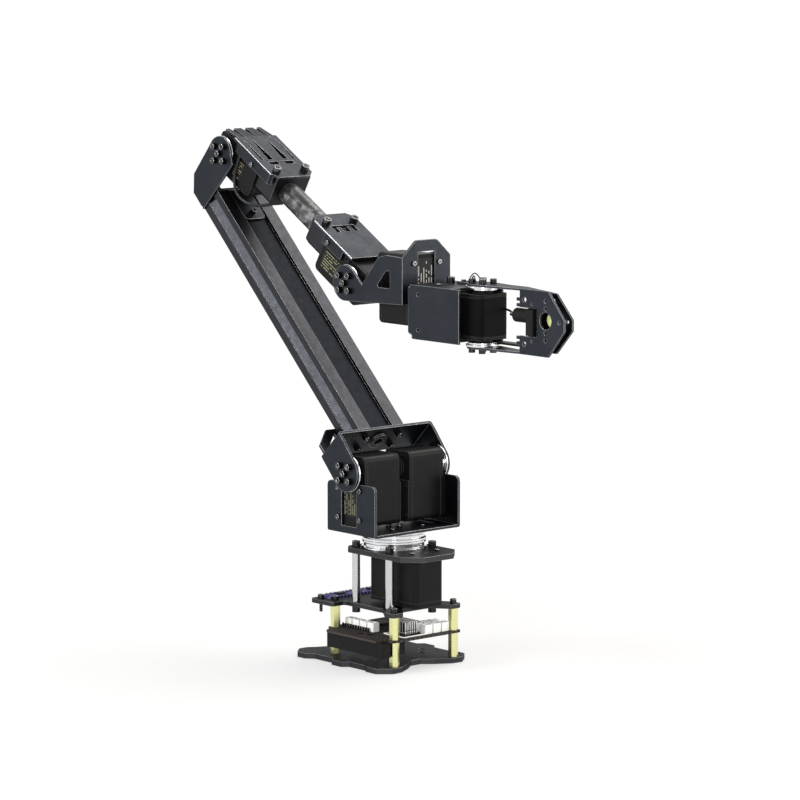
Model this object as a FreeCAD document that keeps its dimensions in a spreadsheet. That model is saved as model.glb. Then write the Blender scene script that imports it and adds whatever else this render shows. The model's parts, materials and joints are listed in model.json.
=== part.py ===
"""Six axis desktop servo arm: lobed base stack, turntable, shoulder with two servos, profile
upper arm, tube forearm, wrist yoke with roll servo, and a two plate gripper.

Millimetres, Z up. The origin lies on the turntable axis at the underside of the base plate, +X is
the reach of the arm. Every driving size is one cell of the sheet Sizes.
"""
import FreeCAD, Part
import Sketcher
import math
import os

V = FreeCAD.Vector
ACROSS = V(0, 1, 0)

SIZES = {
    # servo, the same in all seven places, drawn with its shaft up and its length along +X
    "servo_length": 65.0,
    "servo_width": 35.0,
    "servo_height": 45.0,
    "servo_shaft_inset": 15.5,
    "servo_corner": 5.0,
    "servo_cover": 5.0,
    "servo_step": 2.0,
    "servo_step_run": 11.0,
    "servo_seam": 0.6,
    "hub_radius": 9.0,
    "hub_gap": 0.3,
    "shaft_radius": 4.0,
    "shaft_play": 0.05,
    "shaft_depth": 4.5,
    "shaft_end_gap": 0.5,
    "horn_lift": 1.0,
    "horn_thick": 3.5,
    "horn_radius": 13.0,
    "horn_rim_radius": 15.2,
    "horn_rim_thick": 1.7,
    "horn_pitch_radius": 9.5,
    "case_hole_near": 15.0,
    "case_hole_far": 42.0,
    "case_hole_side": 15.25,
    "case_hole_depth": 4.0,
    # screws: bolt on horns and brackets, button on servo faces, cap on pillars and covers
    "bolt_shank": 1.5,
    "bolt_head_radius": 3.0,
    "bolt_head_height": 4.2,
    "button_shank": 1.25,
    "button_head_radius": 2.25,
    "button_head_height": 1.6,
    "cap_shank": 2.0,
    "cap_head_radius": 3.75,
    "cap_head_height": 5.6,
    "socket_wall": 1.2,
    "socket_depth": 1.0,
    "screw_bite": 3.0,
    "tap_play": 0.05,
    "hole_play": 0.2,
    # base plate
    "plate_thick": 5.0,
    "plate_back": 81.0,
    "plate_back_waist": 70.0,
    "plate_waist_half": 16.0,
    "plate_back_slope": 76.0,
    "plate_back_slope_half": 30.0,
    "plate_back_flank": 38.0,
    "plate_back_shoulder": 47.0,
    "plate_lobe_back": 71.0,
    "plate_lobe_back_end": 60.0,
    "plate_lobe_back_inner": 53.0,
    "plate_half_width": 57.5,
    "plate_side_waist": 51.5,
    "plate_tab_back": 26.0,
    "plate_tab_front": 4.0,
    "plate_tab_slope": 4.0,
    "plate_lobe_front_inner": 18.0,
    "plate_lobe_front": 24.0,
    "plate_lobe_front_outer": 37.0,
    "plate_lobe_front_half": 54.5,
    "plate_front": 47.5,
    "plate_front_shoulder": 42.0,
    "plate_front_flank": 31.0,
    "plate_front_waist": 38.0,
    "plate_nose": 30.0,
    "plate_nose_half": 6.0,
    "plate_round": 1.8,
    "plate_slot_x": 3.0,
    "plate_slot_y": 37.5,
    "plate_inner_slot_x": 8.0,
    "plate_inner_slot_y": 27.0,
    "plate_slot_half": 2.5,
    "plate_slot_radius": 1.7,
    "foot_hole_radius": 2.6,
    "foot_hole_back": 71.0,
    "foot_hole_front": 35.5,
    "foot_hole_y": 47.0,
    # board stack
    "standoff_x": 41.5,
    "standoff_y": 36.0,
    "standoff_flats": 8.0,
    "standoff_low": 23.0,
    "standoff_high": 21.0,
    "standoff_bore_depth": 9.0,
    "stud_length": 7.0,
    "board_thick": 2.0,
    "board_half_x": 47.0,
    "board_half_y": 42.0,
    "board_round": 4.0,
    "board_wing_half": 37.0,
    "board_wing": 52.8,
    "sunk_head": 2.4,
    "sunk_gap": 0.2,
    "plug_deep": 7.0,
    "plug_wide": 8.6,
    "plug_tall": 8.5,
    "plug_wall": 1.0,
    "plug_pitch": 10.4,
    "plug_front_x": 38.0,
    "plug_front_y": 6.0,
    "plug_inner_x": 24.5,
    "plug_left_x": -33.0,
    "plug_left_y": -24.0,
    "plug_front_count": 3,
    "plug_left_count": 4,
    "sink_left": 13.0,
    "sink_right": 34.6,
    "sink_near": 17.0,
    "sink_far": 3.0,
    "sink_tall": 13.0,
    "sink_floor": 2.5,
    "sink_fin": 1.2,
    "sink_pitch": 3.4,
    "box_near": 51.0,
    "box_far": 18.0,
    "box_tall": 13.5,
    "box_gap": 0.5,
    "box_end_long": 6.6,
    "box_end_wide": 10.0,
    "box_round": 1.0,
    # upper deck, pillars and top plate
    "deck_thick": 4.0,
    "deck_back": 66.0,
    "deck_wing": 46.0,
    "deck_wing_front": 34.0,
    "deck_side": 31.0,
    "deck_side_front": 20.0,
    "deck_arm_back": 35.0,
    "deck_arm_out": 42.0,
    "deck_arm_tip": 47.0,
    "deck_arm_in": 30.0,
    "deck_nose": 30.0,
    "deck_nose_half": 17.0,
    "deck_round": 4.0,
    "wing_bolt_x": 56.0,
    "wing_bolt_y": 41.2,
    "wing_bolt_tip": 8.0,
    "deck_slot_x": 24.0,
    "deck_slot_half": 14.0,
    "deck_slot_radius": 4.0,
    "rear_board_back": 65.0,
    "rear_board_front": 47.5,
    "rear_board_half": 37.0,
    "rear_board_thick": 1.8,
    "pillar_x": 23.5,
    "pillar_y": 26.0,
    "pillar_radius": 3.9,
    "pillar_length": 46.5,
    "pillar_bore_depth": 12.0,
    "top_thick": 5.0,
    "top_back": 33.0,
    "top_front": 62.0,
    "top_half_width": 33.0,
    "top_corner": 15.0,
    "top_back_corner": 6.0,
    "top_bore": 14.0,
    "top_slot_x": 50.0,
    "top_slot_half": 4.0,
    "top_slot_radius": 2.2,
    # turntable
    "race_radius": 30.0,
    "race_bore": 22.0,
    "race_tall": 17.0,
    "race_gap": 0.3,
    "race_low_tall": 8.2,
    "race_groove": 1.5,
    "race_groove_half": 1.2,
    "sleeve_bore": 18.0,
    "sleeve_play": 0.05,
    "sleeve_drop": 0.5,
    "column_radius": 11.0,
    "column_screw_radius": 7.0,
    "race_screw_radius": 26.0,
    # shoulder bracket
    "sheet": 2.5,
    "thin_sheet": 2.0,
    "bend": 2.4,
    "bracket_back": 33.5,
    "bracket_front": 33.0,
    "bracket_tall": 47.5,
    "bracket_corner": 5.0,
    "bracket_slot_half": 10.5,
    "bracket_slot_sill": 5.0,
    "bracket_floor_slot_y": 37.0,
    "bracket_floor_slot_half": 8.0,
    "bracket_floor_slot_radius": 3.0,
    "shoulder_x": -3.0,
    "shoulder_rise": 56.5,
    "servo_pair_half": 27.0,
    # upper arm, local X is the front of the arm, local Z runs up the arm
    "arm_lean": 45.0,
    "arm_start": 33.5,
    "arm_length": 296.0,
    "arm_width": 54.0,
    "arm_depth": 27.0,
    "arm_shift": 2.0,
    "arm_recess": 27.0,
    "arm_recess_deep": 3.0,
    "arm_groove": 10.5,
    "arm_groove_back": 9.0,
    "arm_groove_step": 0.8,
    "arm_groove_deep": 4.5,
    "arm_cavity_x": 16.6,
    "arm_cavity_y": 29.0,
    "arm_bore_x": 8.2,
    "arm_bore_y": 20.0,
    "arm_bolt_reach": 12.0,
    "yoke_round": 17.0,
    "yoke_front": 19.5,
    "yoke_front_rise": 25.5,
    "yoke_back": 15.5,
    "yoke_web_bore": 4.5,
    "yoke_ring_radius": 9.0,
    "yoke_ring_tall": 2.0,
    "yoke_fin_shoulder": 9.5,
    "yoke_fin_rise": 25.0,
    "yoke_fin_top": 38.0,
    "yoke_fin_low": 54.0,
    "fin_window_low": 5.0,
    "fin_window_high": 19.5,
    "fin_window_in": 31.0,
    "fin_window_out": 46.0,
    # elbow bracket, outline given from the elbow axis
    "elbow_past_end": 20.5,
    "elbow_ahead": 45.0,
    "elbow_round": 16.5,
    "elbow_back": 56.5,
    "elbow_back_corner": 3.5,
    "elbow_back_top": 0.5,
    "elbow_slope_back": 43.0,
    "elbow_slope_top": 13.0,
    "elbow_crown_back": 4.0,
    "elbow_crown_top": 16.0,
    "elbow_toe_front": 16.3,
    "elbow_toe_drop": 2.5,
    "elbow_toe": 7.0,
    "tab_half": 12.5,
    "tab_length": 37.0,
    "tab_screw": 29.0,
    "tab_round": 5.0,
    # forearm, local X runs along the forearm from the elbow axis, local Z is its upper side
    "fore_dip": 30.8,
    "fore_length": 213.2,
    "hood_inner": 21.6,
    "hood_thick": 2.0,
    "hood_front": 76.5,
    "hood_flank": 3.0,
    "hood_flank_back": 16.0,
    "hood_flank_low": 12.5,
    "hood_bend": 8.0,
    "hood_slope_back": 11.0,
    "hood_slope_drop": 3.8,
    "hood_back_half": 21.0,
    "hood_edge_round": 1.6,
    "hood_slot_back": 14.5,
    "hood_slot_front": 47.0,
    "hood_slot_lane": 8.7,
    "hood_slot_narrow": 0.6,
    "hood_slot_wide": 3.3,
    "hood_edge_lane": 18.8,
    "hood_edge_wide": 1.5,
    "hood_tail_lane": 14.0,
    "hood_tail_slot_back": 14.0,
    "hood_tail_slot_front": 12.0,
    "hood_tail_wide": 2.8,
    "hood_corner": 9.0,
    "hood_tee_back": 50.5,
    "hood_tee_front": 55.5,
    "hood_tee_half": 14.5,
    "hood_tee_tongue": 52.6,
    "hood_tee_tongue_half": 4.0,
    "hood_screw_x": 67.5,
    "hood_screw_y": 17.0,
    "tube_radius": 11.0,
    "tube_wall": 2.0,
    "tube_rise": 5.0,
    "tube_seat": 14.0,
    "clamp_half": 20.0,
    "clamp_long": 26.0,
    "clamp_low": 9.0,
    "clamp_gap": 0.3,
    "clamp_split": 1.0,
    "clamp_corner": 6.0,
    "cap_inner": 20.5,
    "cap_back": 76.0,
    "cap_front": 6.7,
    "cap_flank_low": 11.0,
    "cap_corner": 8.0,
    "cap_ee_back": 57.5,
    "cap_ee_front": 47.5,
    "cap_ee_bar": 2.4,
    "cap_ee_prong": 5.0,
    "cap_ee_middle": 8.0,
    "cap_ee_half": 13.5,
    "cap_screw_x": 61.5,
    "cap_screw_y": 16.5,
    "cable_radius": 1.5,
    "cable_lane": 24.3,
    "cable_top": 12.3,
    "cable_back": 22.5,
    "cable_low": 22.0,
    "cable_turn": 62.0,
    "cable_end": 70.0,
    "cable_end_low": 11.5,
    "cable_end_lane": 9.0,
    # wrist, outline given from the wrist axis, no turn against the base
    "wrist_round": 16.5,
    "wrist_front": 78.0,
    "wrist_low": 14.0,
    "wrist_high": 28.5,
    "wrist_peak_back": 47.0,
    "wrist_peak_top": 27.0,
    "wrist_peak_front": 58.0,
    "wrist_peak_high": 29.5,
    "wrist_notch": 24.0,
    "wrist_cheek": 11.7,
    "wrist_window_back": 43.6,
    "wrist_window_front": 62.9,
    "wrist_window_low": -0.5,
    "wrist_window_high": 15.3,
    "wrist_window_peak": 57.4,
    "wrist_window_round": 2.0,
    "wrist_web_top": 43.5,
    "wrist_web_round": 6.0,
    "wrist_web_half": 12.5,
    "wrist_web_slot_half": 10.2,
    "wrist_web_slot_top": 33.0,
    "roll_drop": 19.3,
    "roll_bore": 14.0,
    # hand, local X runs from the face of the roll horn along the reach
    "roll_spacer": 3.0,
    "hand_half_width": 27.0,
    "hand_side_front": 68.0,
    "hand_roof_front": 55.0,
    "hand_shaft": 70.0,
    "hand_corner_top": 5.0,
    "hand_corner_low": 8.0,
    "hand_hole_x": 13.5,
    "hand_hole_z": 16.0,
    "hand_slot_half": 5.0,
    "hand_slot_radius": 2.2,
    "hand_slot_x": 16.0,
    "hand_bolt_x": 17.0,
    "hand_bolt_y": 9.5,
    "jaw_back": 124.5,
    "jaw_crown_run": 36.5,
    "jaw_tip_run": 56.5,
    "jaw_tip_half": 5.0,
    "jaw_gap_half": 4.0,
    "jaw_eye_run": 33.0,
    "jaw_eye_z": 2.8,
    "jaw_eye_radius": 7.5,
    "jaw_hole_radius": 1.7,
    "jaw_wide_hole_radius": 2.2,
    "jaw_small_hole_radius": 1.1,
    "jaw_hole_run": 6.3,
    "jaw_hole_z": 19.6,
    "jaw_small_hole_run": 15.7,
    "jaw_small_hole_z": 16.4,
    "jaw_hole_high": 17.3,
    "jaw_hole_mid": 10.6,
    "jaw_tip_hole_run": 50.5,
    "jaw_notch_run": 22.0,
    "jaw_notch_half": 12.5,
    "jaw_lug": 4.0,
    "jaw_lug_half": 1.5,
    "jaw_lug_z": 14.4,
    "jaw_lug_pitch": 5.0,
    "jaw_arm_round": 14.0,
    "fixed_arm_back": 25.0,
    "fixed_arm_out": 26.0,
    "fixed_arm_in": 9.5,
    "fixed_arm_step": 52.0,
    "fixed_arm_lane": 16.0,
    "fixed_arm_turn": 101.0,
    "fixed_screw_x": 46.0,
    "fixed_screw_y": 20.5,
    "sensor_overhang": 7.0,
    "sensor_block_run": 11.0,
    "sensor_block_long": 9.0,
    "sensor_block_half": 11.5,
    "sensor_radius": 6.3,
    "sensor_rise": 5.0,
    "sensor_near": 9.0,
    "pad_radius": 6.5,
    "pad_thick": 2.0,
    "lead_radius": 1.0,
    "lead_dip": 1.6,
    "lead_gap": 0.2,
    "lead_rise": 1.2,
    "lead_side": 13.0,
}


class Size:
    """A number together with the sheet expression it comes from."""

    def __init__(self, value, text):
        self.value = float(value)
        self.text = text

    def __float__(self):
        return self.value

    def __neg__(self):
        return Size(-self.value, "(0 - %s)" % self.text)

    def __add__(self, other):
        other = as_size(other)
        return Size(self.value + other.value, "(%s + %s)" % (self.text, other.text))

    def __sub__(self, other):
        other = as_size(other)
        return Size(self.value - other.value, "(%s - %s)" % (self.text, other.text))

    def __mul__(self, factor):
        factor = as_size(factor)
        return Size(self.value * factor.value, "(%s * %s)" % (self.text, factor.text))

    def __truediv__(self, divisor):
        divisor = as_size(divisor)
        return Size(self.value / divisor.value, "(%s / %s)" % (self.text, divisor.text))


def as_size(number):
    """A plain number becomes a Size, a Size stays as it is."""
    if isinstance(number, Size):
        return number
    return Size(number, "(%r)" % float(number))


class Named:
    """Gives every sheet alias as an attribute."""

    def __getattr__(self, name):
        return Size(SIZES[name], "Sizes." + name)


d = Named()
doc = FreeCAD.newDocument("ServoArm")
sheet = doc.addObject("Spreadsheet::Sheet", "Sizes")
for row, (alias, number) in enumerate(SIZES.items(), start=1):
    sheet.set("A%d" % row, alias)
    sheet.set("B%d" % row, repr(number))
    sheet.setAlias("B%d" % row, alias)
doc.recompute()
nodes = []


# Drawing helpers

PLANES = {"XY": ("XY_Plane", 1.0), "XZ": ("XZ_Plane", -1.0), "YZ": ("YZ_Plane", 1.0)}


def ring(across, upward, radius):
    """A full circle."""
    return ("ring", as_size(across), as_size(upward), as_size(radius))


def box(left, right, low, high):
    """A rectangle from its four sides."""
    return [(left, low), (right, low), (right, high), (left, high)]


def slot(start, end, level, radius):
    """A slot with round ends along the first direction of its plane."""
    return ("slot", as_size(start), as_size(end), as_size(level), as_size(radius))


def mirrored(half):
    """A closed outline from its lower half, repeated upside down."""
    upper = [(across, -as_size(upward)) for across, upward in reversed(half)]
    return list(half) + upper


def fix(drawing, geometry, point, across, upward):
    """Ties one sketch point to its place from the sketch origin."""
    for kind, length in (("DistanceX", as_size(across)), ("DistanceY", as_size(upward))):
        index = drawing.addConstraint(
            Sketcher.Constraint(kind, -1, 1, geometry, point, length.value))
        drawing.setExpression("Constraints[%d]" % index, length.text)


def fix_radius(drawing, geometry, radius):
    """Ties a circle or an arc to its radius."""
    index = drawing.addConstraint(Sketcher.Constraint("Radius", geometry, radius.value))
    drawing.setExpression("Constraints[%d]" % index, radius.text)


def draw_polygon(drawing, corners):
    """A closed outline of straight lines with every corner tied to the sheet."""
    spots = [V(float(across), float(upward), 0) for across, upward in corners]
    first = drawing.GeometryCount
    count = len(spots)
    for i in range(count):
        drawing.addGeometry(Part.LineSegment(spots[i], spots[(i + 1) % count]), False)
    for i in range(count):
        drawing.addConstraint(
            Sketcher.Constraint("Coincident", first + i, 2, first + (i + 1) % count, 1))
    for i, (across, upward) in enumerate(corners):
        fix(drawing, first + i, 1, across, upward)


def draw_ring(drawing, across, upward, radius):
    """A full circle tied to the sheet."""
    circle = Part.Circle(V(across.value, upward.value, 0), V(0, 0, 1), radius.value)
    geometry = drawing.addGeometry(circle, False)
    fix(drawing, geometry, 3, across, upward)
    fix_radius(drawing, geometry, radius)


def draw_slot(drawing, start, end, level, radius):
    """Two straight sides and two half circles, tied to the sheet."""
    quarter = math.pi / 2
    low = (level - radius).value
    high = (level + radius).value
    far = Part.Circle(V(end.value, level.value, 0), V(0, 0, 1), radius.value)
    near = Part.Circle(V(start.value, level.value, 0), V(0, 0, 1), radius.value)
    bottom = drawing.addGeometry(
        Part.LineSegment(V(start.value, low, 0), V(end.value, low, 0)), False)
    right = drawing.addGeometry(Part.ArcOfCircle(far, -quarter, quarter), False)
    top = drawing.addGeometry(
        Part.LineSegment(V(end.value, high, 0), V(start.value, high, 0)), False)
    left = drawing.addGeometry(Part.ArcOfCircle(near, quarter, 3 * quarter), False)
    for one, other in ((bottom, right), (right, top), (top, left), (left, bottom)):
        drawing.addConstraint(Sketcher.Constraint("Coincident", one, 2, other, 1))
    fix(drawing, bottom, 1, start, level - radius)
    fix(drawing, bottom, 2, end, level - radius)
    fix(drawing, top, 1, end, level + radius)
    fix(drawing, top, 2, start, level + radius)
    for arc, middle in ((right, end), (left, start)):
        index = drawing.addConstraint(
            Sketcher.Constraint("DistanceX", -1, 1, arc, 3, middle.value))
        drawing.setExpression("Constraints[%d]" % index, middle.text)


def sketch(body, plane, level, loops):
    """A sketch on one of the body's own planes, lifted to a level along +X, +Y or +Z."""
    role, sign = PLANES[plane]
    drawing = body.newObject("Sketcher::SketchObject", body.Name + "_outline")
    support = [item for item in body.Origin.OriginFeatures if item.Role == role][0]
    drawing.AttachmentSupport = [(support, "")]
    drawing.MapMode = "FlatFace"
    lift = as_size(level) * sign
    drawing.AttachmentOffset = FreeCAD.Placement(V(0, 0, lift.value), FreeCAD.Rotation())
    drawing.setExpression("AttachmentOffset.Base.z", lift.text)
    for loop in loops:
        if isinstance(loop, list):
            draw_polygon(drawing, loop)
        elif loop[0] == "ring":
            draw_ring(drawing, *loop[1:])
        else:
            draw_slot(drawing, *loop[1:])
    return drawing


def layer(kind, body, plane, low, high, loops):
    """Material between two levels along the normal of a plane, added or taken away."""
    low = as_size(low)
    high = as_size(high)
    drawing = sketch(body, plane, (low + high) / 2, loops)
    feature = body.newObject(kind, body.Name + "_layer")
    feature.Profile = drawing
    feature.SideType = "Symmetric"
    feature.Type = "Length"
    feature.Length = (high - low).value
    feature.setExpression("Length", (high - low).text)
    drawing.Visibility = False
    return feature


def add(body, plane, low, high, *loops):
    """Pads outlines between two levels."""
    return layer("PartDesign::Pad", body, plane, low, high, loops)


def take(body, plane, low, high, *loops):
    """Cuts outlines away between two levels."""
    return layer("PartDesign::Pocket", body, plane, low, high, loops)


def turn(body, corners):
    """Revolves a half section, given as radius and height, about the body's Z axis."""
    drawing = sketch(body, "XZ", 0.0, [corners])
    feature = body.newObject("PartDesign::Revolution", body.Name + "_turned")
    feature.Profile = drawing
    feature.ReferenceAxis = (drawing, ["V_Axis"])
    feature.Angle = 360.0
    drawing.Visibility = False
    return feature


def dress(kind, body, amount, keep):
    """Fillet or chamfer on the edges of the body's tip that the test keeps."""
    doc.recompute()
    tip = body.Tip
    names = []
    for number, edge in enumerate(tip.Shape.Edges, start=1):
        start = edge.valueAt(edge.FirstParameter)
        end = edge.valueAt(edge.LastParameter)
        if keep(edge, start, end):
            names.append("Edge%d" % number)
    feature = body.newObject(kind, body.Name + "_edges")
    feature.Base = (tip, names)
    size_name = "Radius" if kind.endswith("Fillet") else "Size"
    setattr(feature, size_name, amount.value)
    feature.setExpression(size_name, amount.text)
    return feature


def along(axis, test):
    """Keeps straight edges along one axis whose middle passes a test."""
    def keep(edge, start, end):
        span = end - start
        straight = edge.Curve.TypeId == "Part::GeomLine"
        if not straight or abs(abs(span.dot(axis)) - span.Length) > 1e-6:
            return False
        return test((start + end) * 0.5)
    return keep


def everywhere(middle):
    """Passes every edge."""
    return True


def body_named(label):
    """A new body."""
    return doc.addObject("PartDesign::Body", label)


def node(item, place):
    """Sets an item in its place and counts it as one named piece of the arm."""
    item.Placement = place
    nodes.append(item)
    return item


def group(label, items):
    """Several alike pieces that share one name."""
    together = doc.addObject("Part::Compound", label)
    together.Links = items
    nodes.append(together)
    return together


def at(across, deep, upward):
    """A shift."""
    return FreeCAD.Placement(V(float(across), float(deep), float(upward)), FreeCAD.Rotation())


def axes(first, third):
    """A turn that lays local X along one direction and local Z along another."""
    return FreeCAD.Placement(V(), FreeCAD.Rotation(first, third.cross(first), third, "ZXY"))


# Frames of the moving parts

SCREW_KINDS = {
    "bolt": (d.bolt_head_radius, d.bolt_head_height, d.bolt_shank),
    "button": (d.button_head_radius, d.button_head_height, d.button_shank),
    "cap": (d.cap_head_radius, d.cap_head_height, d.cap_shank),
    "sunk": (d.bolt_head_radius, d.sunk_head, d.bolt_shank),
}
UPWARD = V(0, 0, 1)
FORWARD = V(1, 0, 0)
plate_top = d.plate_thick
board_low = plate_top + d.standoff_low
board_top = board_low + d.board_thick
deck_low = board_top + d.standoff_high
deck_top = deck_low + d.deck_thick
top_low = deck_top + d.pillar_length
top_top = top_low + d.top_thick
floor_low = top_top + d.race_tall
floor_top = floor_low + d.sheet
half_height = d.servo_height / 2
horn_low = half_height + d.horn_lift
horn_top = horn_low + d.horn_thick
shoulder_z = floor_low + d.shoulder_rise
bracket_inner = d.servo_pair_half + half_height
yoke_inner = d.servo_pair_half + horn_top
arm_frame = FreeCAD.Placement(
    V(d.shoulder_x.value, 0, shoulder_z.value), FreeCAD.Rotation(ACROSS, -d.arm_lean.value))
arm_end = d.arm_start + d.arm_length
elbow_level = arm_end + d.elbow_past_end
elbow_frame = arm_frame.multiply(at(d.elbow_ahead, 0, elbow_level))
fore_turn = FreeCAD.Rotation(ACROSS, d.fore_dip.value)
fore_frame = FreeCAD.Placement(elbow_frame.Base, fore_turn)
wrist_point = fore_frame.multVec(V(d.fore_length.value, 0, 0))
wrist_frame = at(wrist_point.x, 0, wrist_point.z)
roll_face = d.wrist_front - half_height
hand_start = roll_face + horn_top + d.roll_spacer
hand_frame = wrist_frame.multiply(at(hand_start, 0, -d.roll_drop))
roll_frame = wrist_frame.multiply(at(roll_face, 0, -d.roll_drop)).multiply(axes(UPWARD, FORWARD))
grip_frame = hand_frame.multiply(at(d.hand_shaft, 0, 0)).multiply(axes(-FORWARD, UPWARD))
base_servo_frame = at(0, 0, top_low - half_height)
elbow_servo_frame = fore_frame.multiply(axes(FORWARD, ACROSS))
wrist_servo_frame = fore_frame.multiply(at(d.fore_length, 0, 0)).multiply(axes(-FORWARD, ACROSS))
flipped = axes(FORWARD, -UPWARD)


def shoulder_servo_frame(side):
    """The shoulder servo on one side, shaft outward, length downward."""
    place = at(d.shoulder_x, d.servo_pair_half * side, shoulder_z)
    return place.multiply(axes(-UPWARD, ACROSS * side))


# Pieces that repeat

def screw(kind, reach):
    """A socket head screw, head above the origin and shank below it."""
    head_radius, head_height, shank_radius = (float(value) for value in SCREW_KINDS[kind])
    reach = float(reach)
    head = Part.makeCylinder(head_radius, head_height)
    shank = Part.makeCylinder(shank_radius, reach, V(0, 0, -reach))
    depth = d.socket_depth.value
    width = head_radius - d.socket_wall.value
    turns = [math.radians(60 * i) for i in range(7)]
    level = head_height - depth
    corners = [V(width * math.cos(angle), width * math.sin(angle), level) for angle in turns]
    socket = Part.Face(Part.makePolygon(corners)).extrude(V(0, 0, depth))
    return head.fuse(shank).cut(socket)


def screws(label, frame, spots):
    """Separate screws that share one name: each spot gives kind, reach, seat and head direction."""
    shapes = []
    for kind, reach, seat, outward in spots:
        piece = screw(kind, reach)
        place = FreeCAD.Placement(
            V(*(float(value) for value in seat)), FreeCAD.Rotation(UPWARD, outward))
        piece.Placement = frame.multiply(place)
        shapes.append(piece)
    item = doc.addObject("Part::Feature", label)
    item.Shape = Part.makeCompound(shapes)
    nodes.append(item)
    return item


def horn_places(turned):
    """Screw places of a horn: the middle and four on the pitch circle, on or between the axes."""
    pitch = d.horn_pitch_radius
    slant = pitch * math.sqrt(0.5)
    places = [(pitch * 0, pitch * 0)]
    for right, over in ((1, 1), (1, -1), (-1, 1), (-1, -1)):
        if turned:
            places.append((pitch * ((right + over) / 2), pitch * ((right - over) / 2)))
        else:
            places.append((slant * right, slant * over))
    return places


def horn_circle(across, upward, radius, turned=False):
    """The five holes of a horn about a given middle."""
    across = as_size(across)
    upward = as_size(upward)
    return [ring(across + right, upward + over, radius) for right, over in horn_places(turned)]


def horn_spots(reach, level, sides, turned=False):
    """Seats of the five horn screws on each side, in a frame whose Y is the shaft."""
    spots = []
    for side in sides:
        for right, over in horn_places(turned):
            spots.append(("bolt", reach, (right, level * side, over), ACROSS * side))
    return spots


servo_near = -d.servo_shaft_inset
servo_far = d.servo_length - d.servo_shaft_inset
servo_side = d.servo_width / 2


def upright_corner(middle):
    """Passes the four outer corners of a servo outline."""
    ends = (servo_near.value, servo_far.value)
    at_end = min(abs(middle.x - end) for end in ends) < 1e-6
    return at_end and abs(abs(middle.y) - servo_side.value) < 1e-6


def servo_case(name):
    """The middle of a servo, a rounded block with a chamfered seam at each cover."""
    body = body_named(name)
    seat = half_height - d.servo_cover
    add(body, "XY", -seat, seat, box(servo_near, servo_far, -servo_side, servo_side))
    dress("PartDesign::Fillet", body, d.servo_corner, along(UPWARD, upright_corner))

    def rim(edge, start, end):
        return abs(abs(start.z) - seat.value) < 1e-6 and abs(start.z - end.z) < 1e-6
    dress("PartDesign::Chamfer", body, d.servo_seam, rim)
    return body


def servo_cover(name, driven):
    """A servo cover: rounded plate, raised deck with screw holes, hub with a bore if driven."""
    body = body_named(name)
    seat = half_height - d.servo_cover
    step = half_height - d.servo_step
    hub_top = horn_low - d.hub_gap
    add(body, "XY", seat, step, box(servo_near, servo_far, -servo_side, servo_side))
    add(body, "XY", step, half_height, box(d.servo_step_run, servo_far, -servo_side, servo_side))
    dress("PartDesign::Fillet", body, d.servo_corner, along(UPWARD, upright_corner))
    add(body, "XY", step, hub_top, ring(0, 0, d.hub_radius))
    hole = d.button_shank + d.tap_play
    holes = []
    for run in (d.case_hole_near, d.case_hole_far):
        for side in (1, -1):
            holes.append(ring(run, d.case_hole_side * side, hole))
    take(body, "XY", half_height - d.case_hole_depth, half_height, *holes)
    if driven:
        bore_floor = horn_low - d.shaft_depth - d.shaft_end_gap
        take(body, "XY", bore_floor, hub_top, ring(0, 0, d.shaft_radius + d.shaft_play))
    return body


def servo(name, frames, front_driven, back_driven):
    """Case node and cover node of one servo, or of a pair that shares the names."""
    cases = []
    covers = []
    for count, frame in enumerate(frames):
        case = servo_case("%s_case_%d" % (name, count))
        case.Placement = frame
        cases.append(case)
        front = servo_cover("%s_front_%d" % (name, count), front_driven)
        front.Placement = frame
        back = servo_cover("%s_back_%d" % (name, count), back_driven)
        back.Placement = frame.multiply(flipped)
        covers += [front, back]
    if len(cases) == 1:
        cases[0].Label = name + "_case"
        nodes.append(cases[0])
    else:
        group(name + "_cases", cases)
    group(name + "_covers", covers)


def horn(name, frame, rise, rimmed=False, turned=False):
    """A horn disc with its shaft stub, a spacer of the given rise and, if asked, a wide rim."""
    body = body_named(name)
    add(body, "XY", horn_low, horn_top + rise, ring(0, 0, d.horn_radius))
    add(body, "XY", horn_low - d.shaft_depth, horn_low, ring(0, 0, d.shaft_radius))
    if rimmed:
        add(body, "XY", horn_top - d.horn_rim_thick, horn_top, ring(0, 0, d.horn_rim_radius))
    holes = horn_circle(0, 0, d.bolt_shank + d.tap_play, turned)
    take(body, "XY", horn_low, horn_top + rise, *holes)
    body.Placement = frame
    return body


def horns(label, frame, apart, turned=False):
    """The two horns of one joint under one name, shafts along the frame's Y, facing outward."""
    pair = []
    for side in (1, -1):
        place = frame.multiply(at(0, as_size(apart) * side, 0))
        name = "%s_%s" % (label, "left" if side == 1 else "right")
        turn_out = axes(FORWARD, ACROSS * side)
        pair.append(horn(name, place.multiply(turn_out), 0.0, True, turned))
    return group(label, pair)


# Base stack

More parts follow.
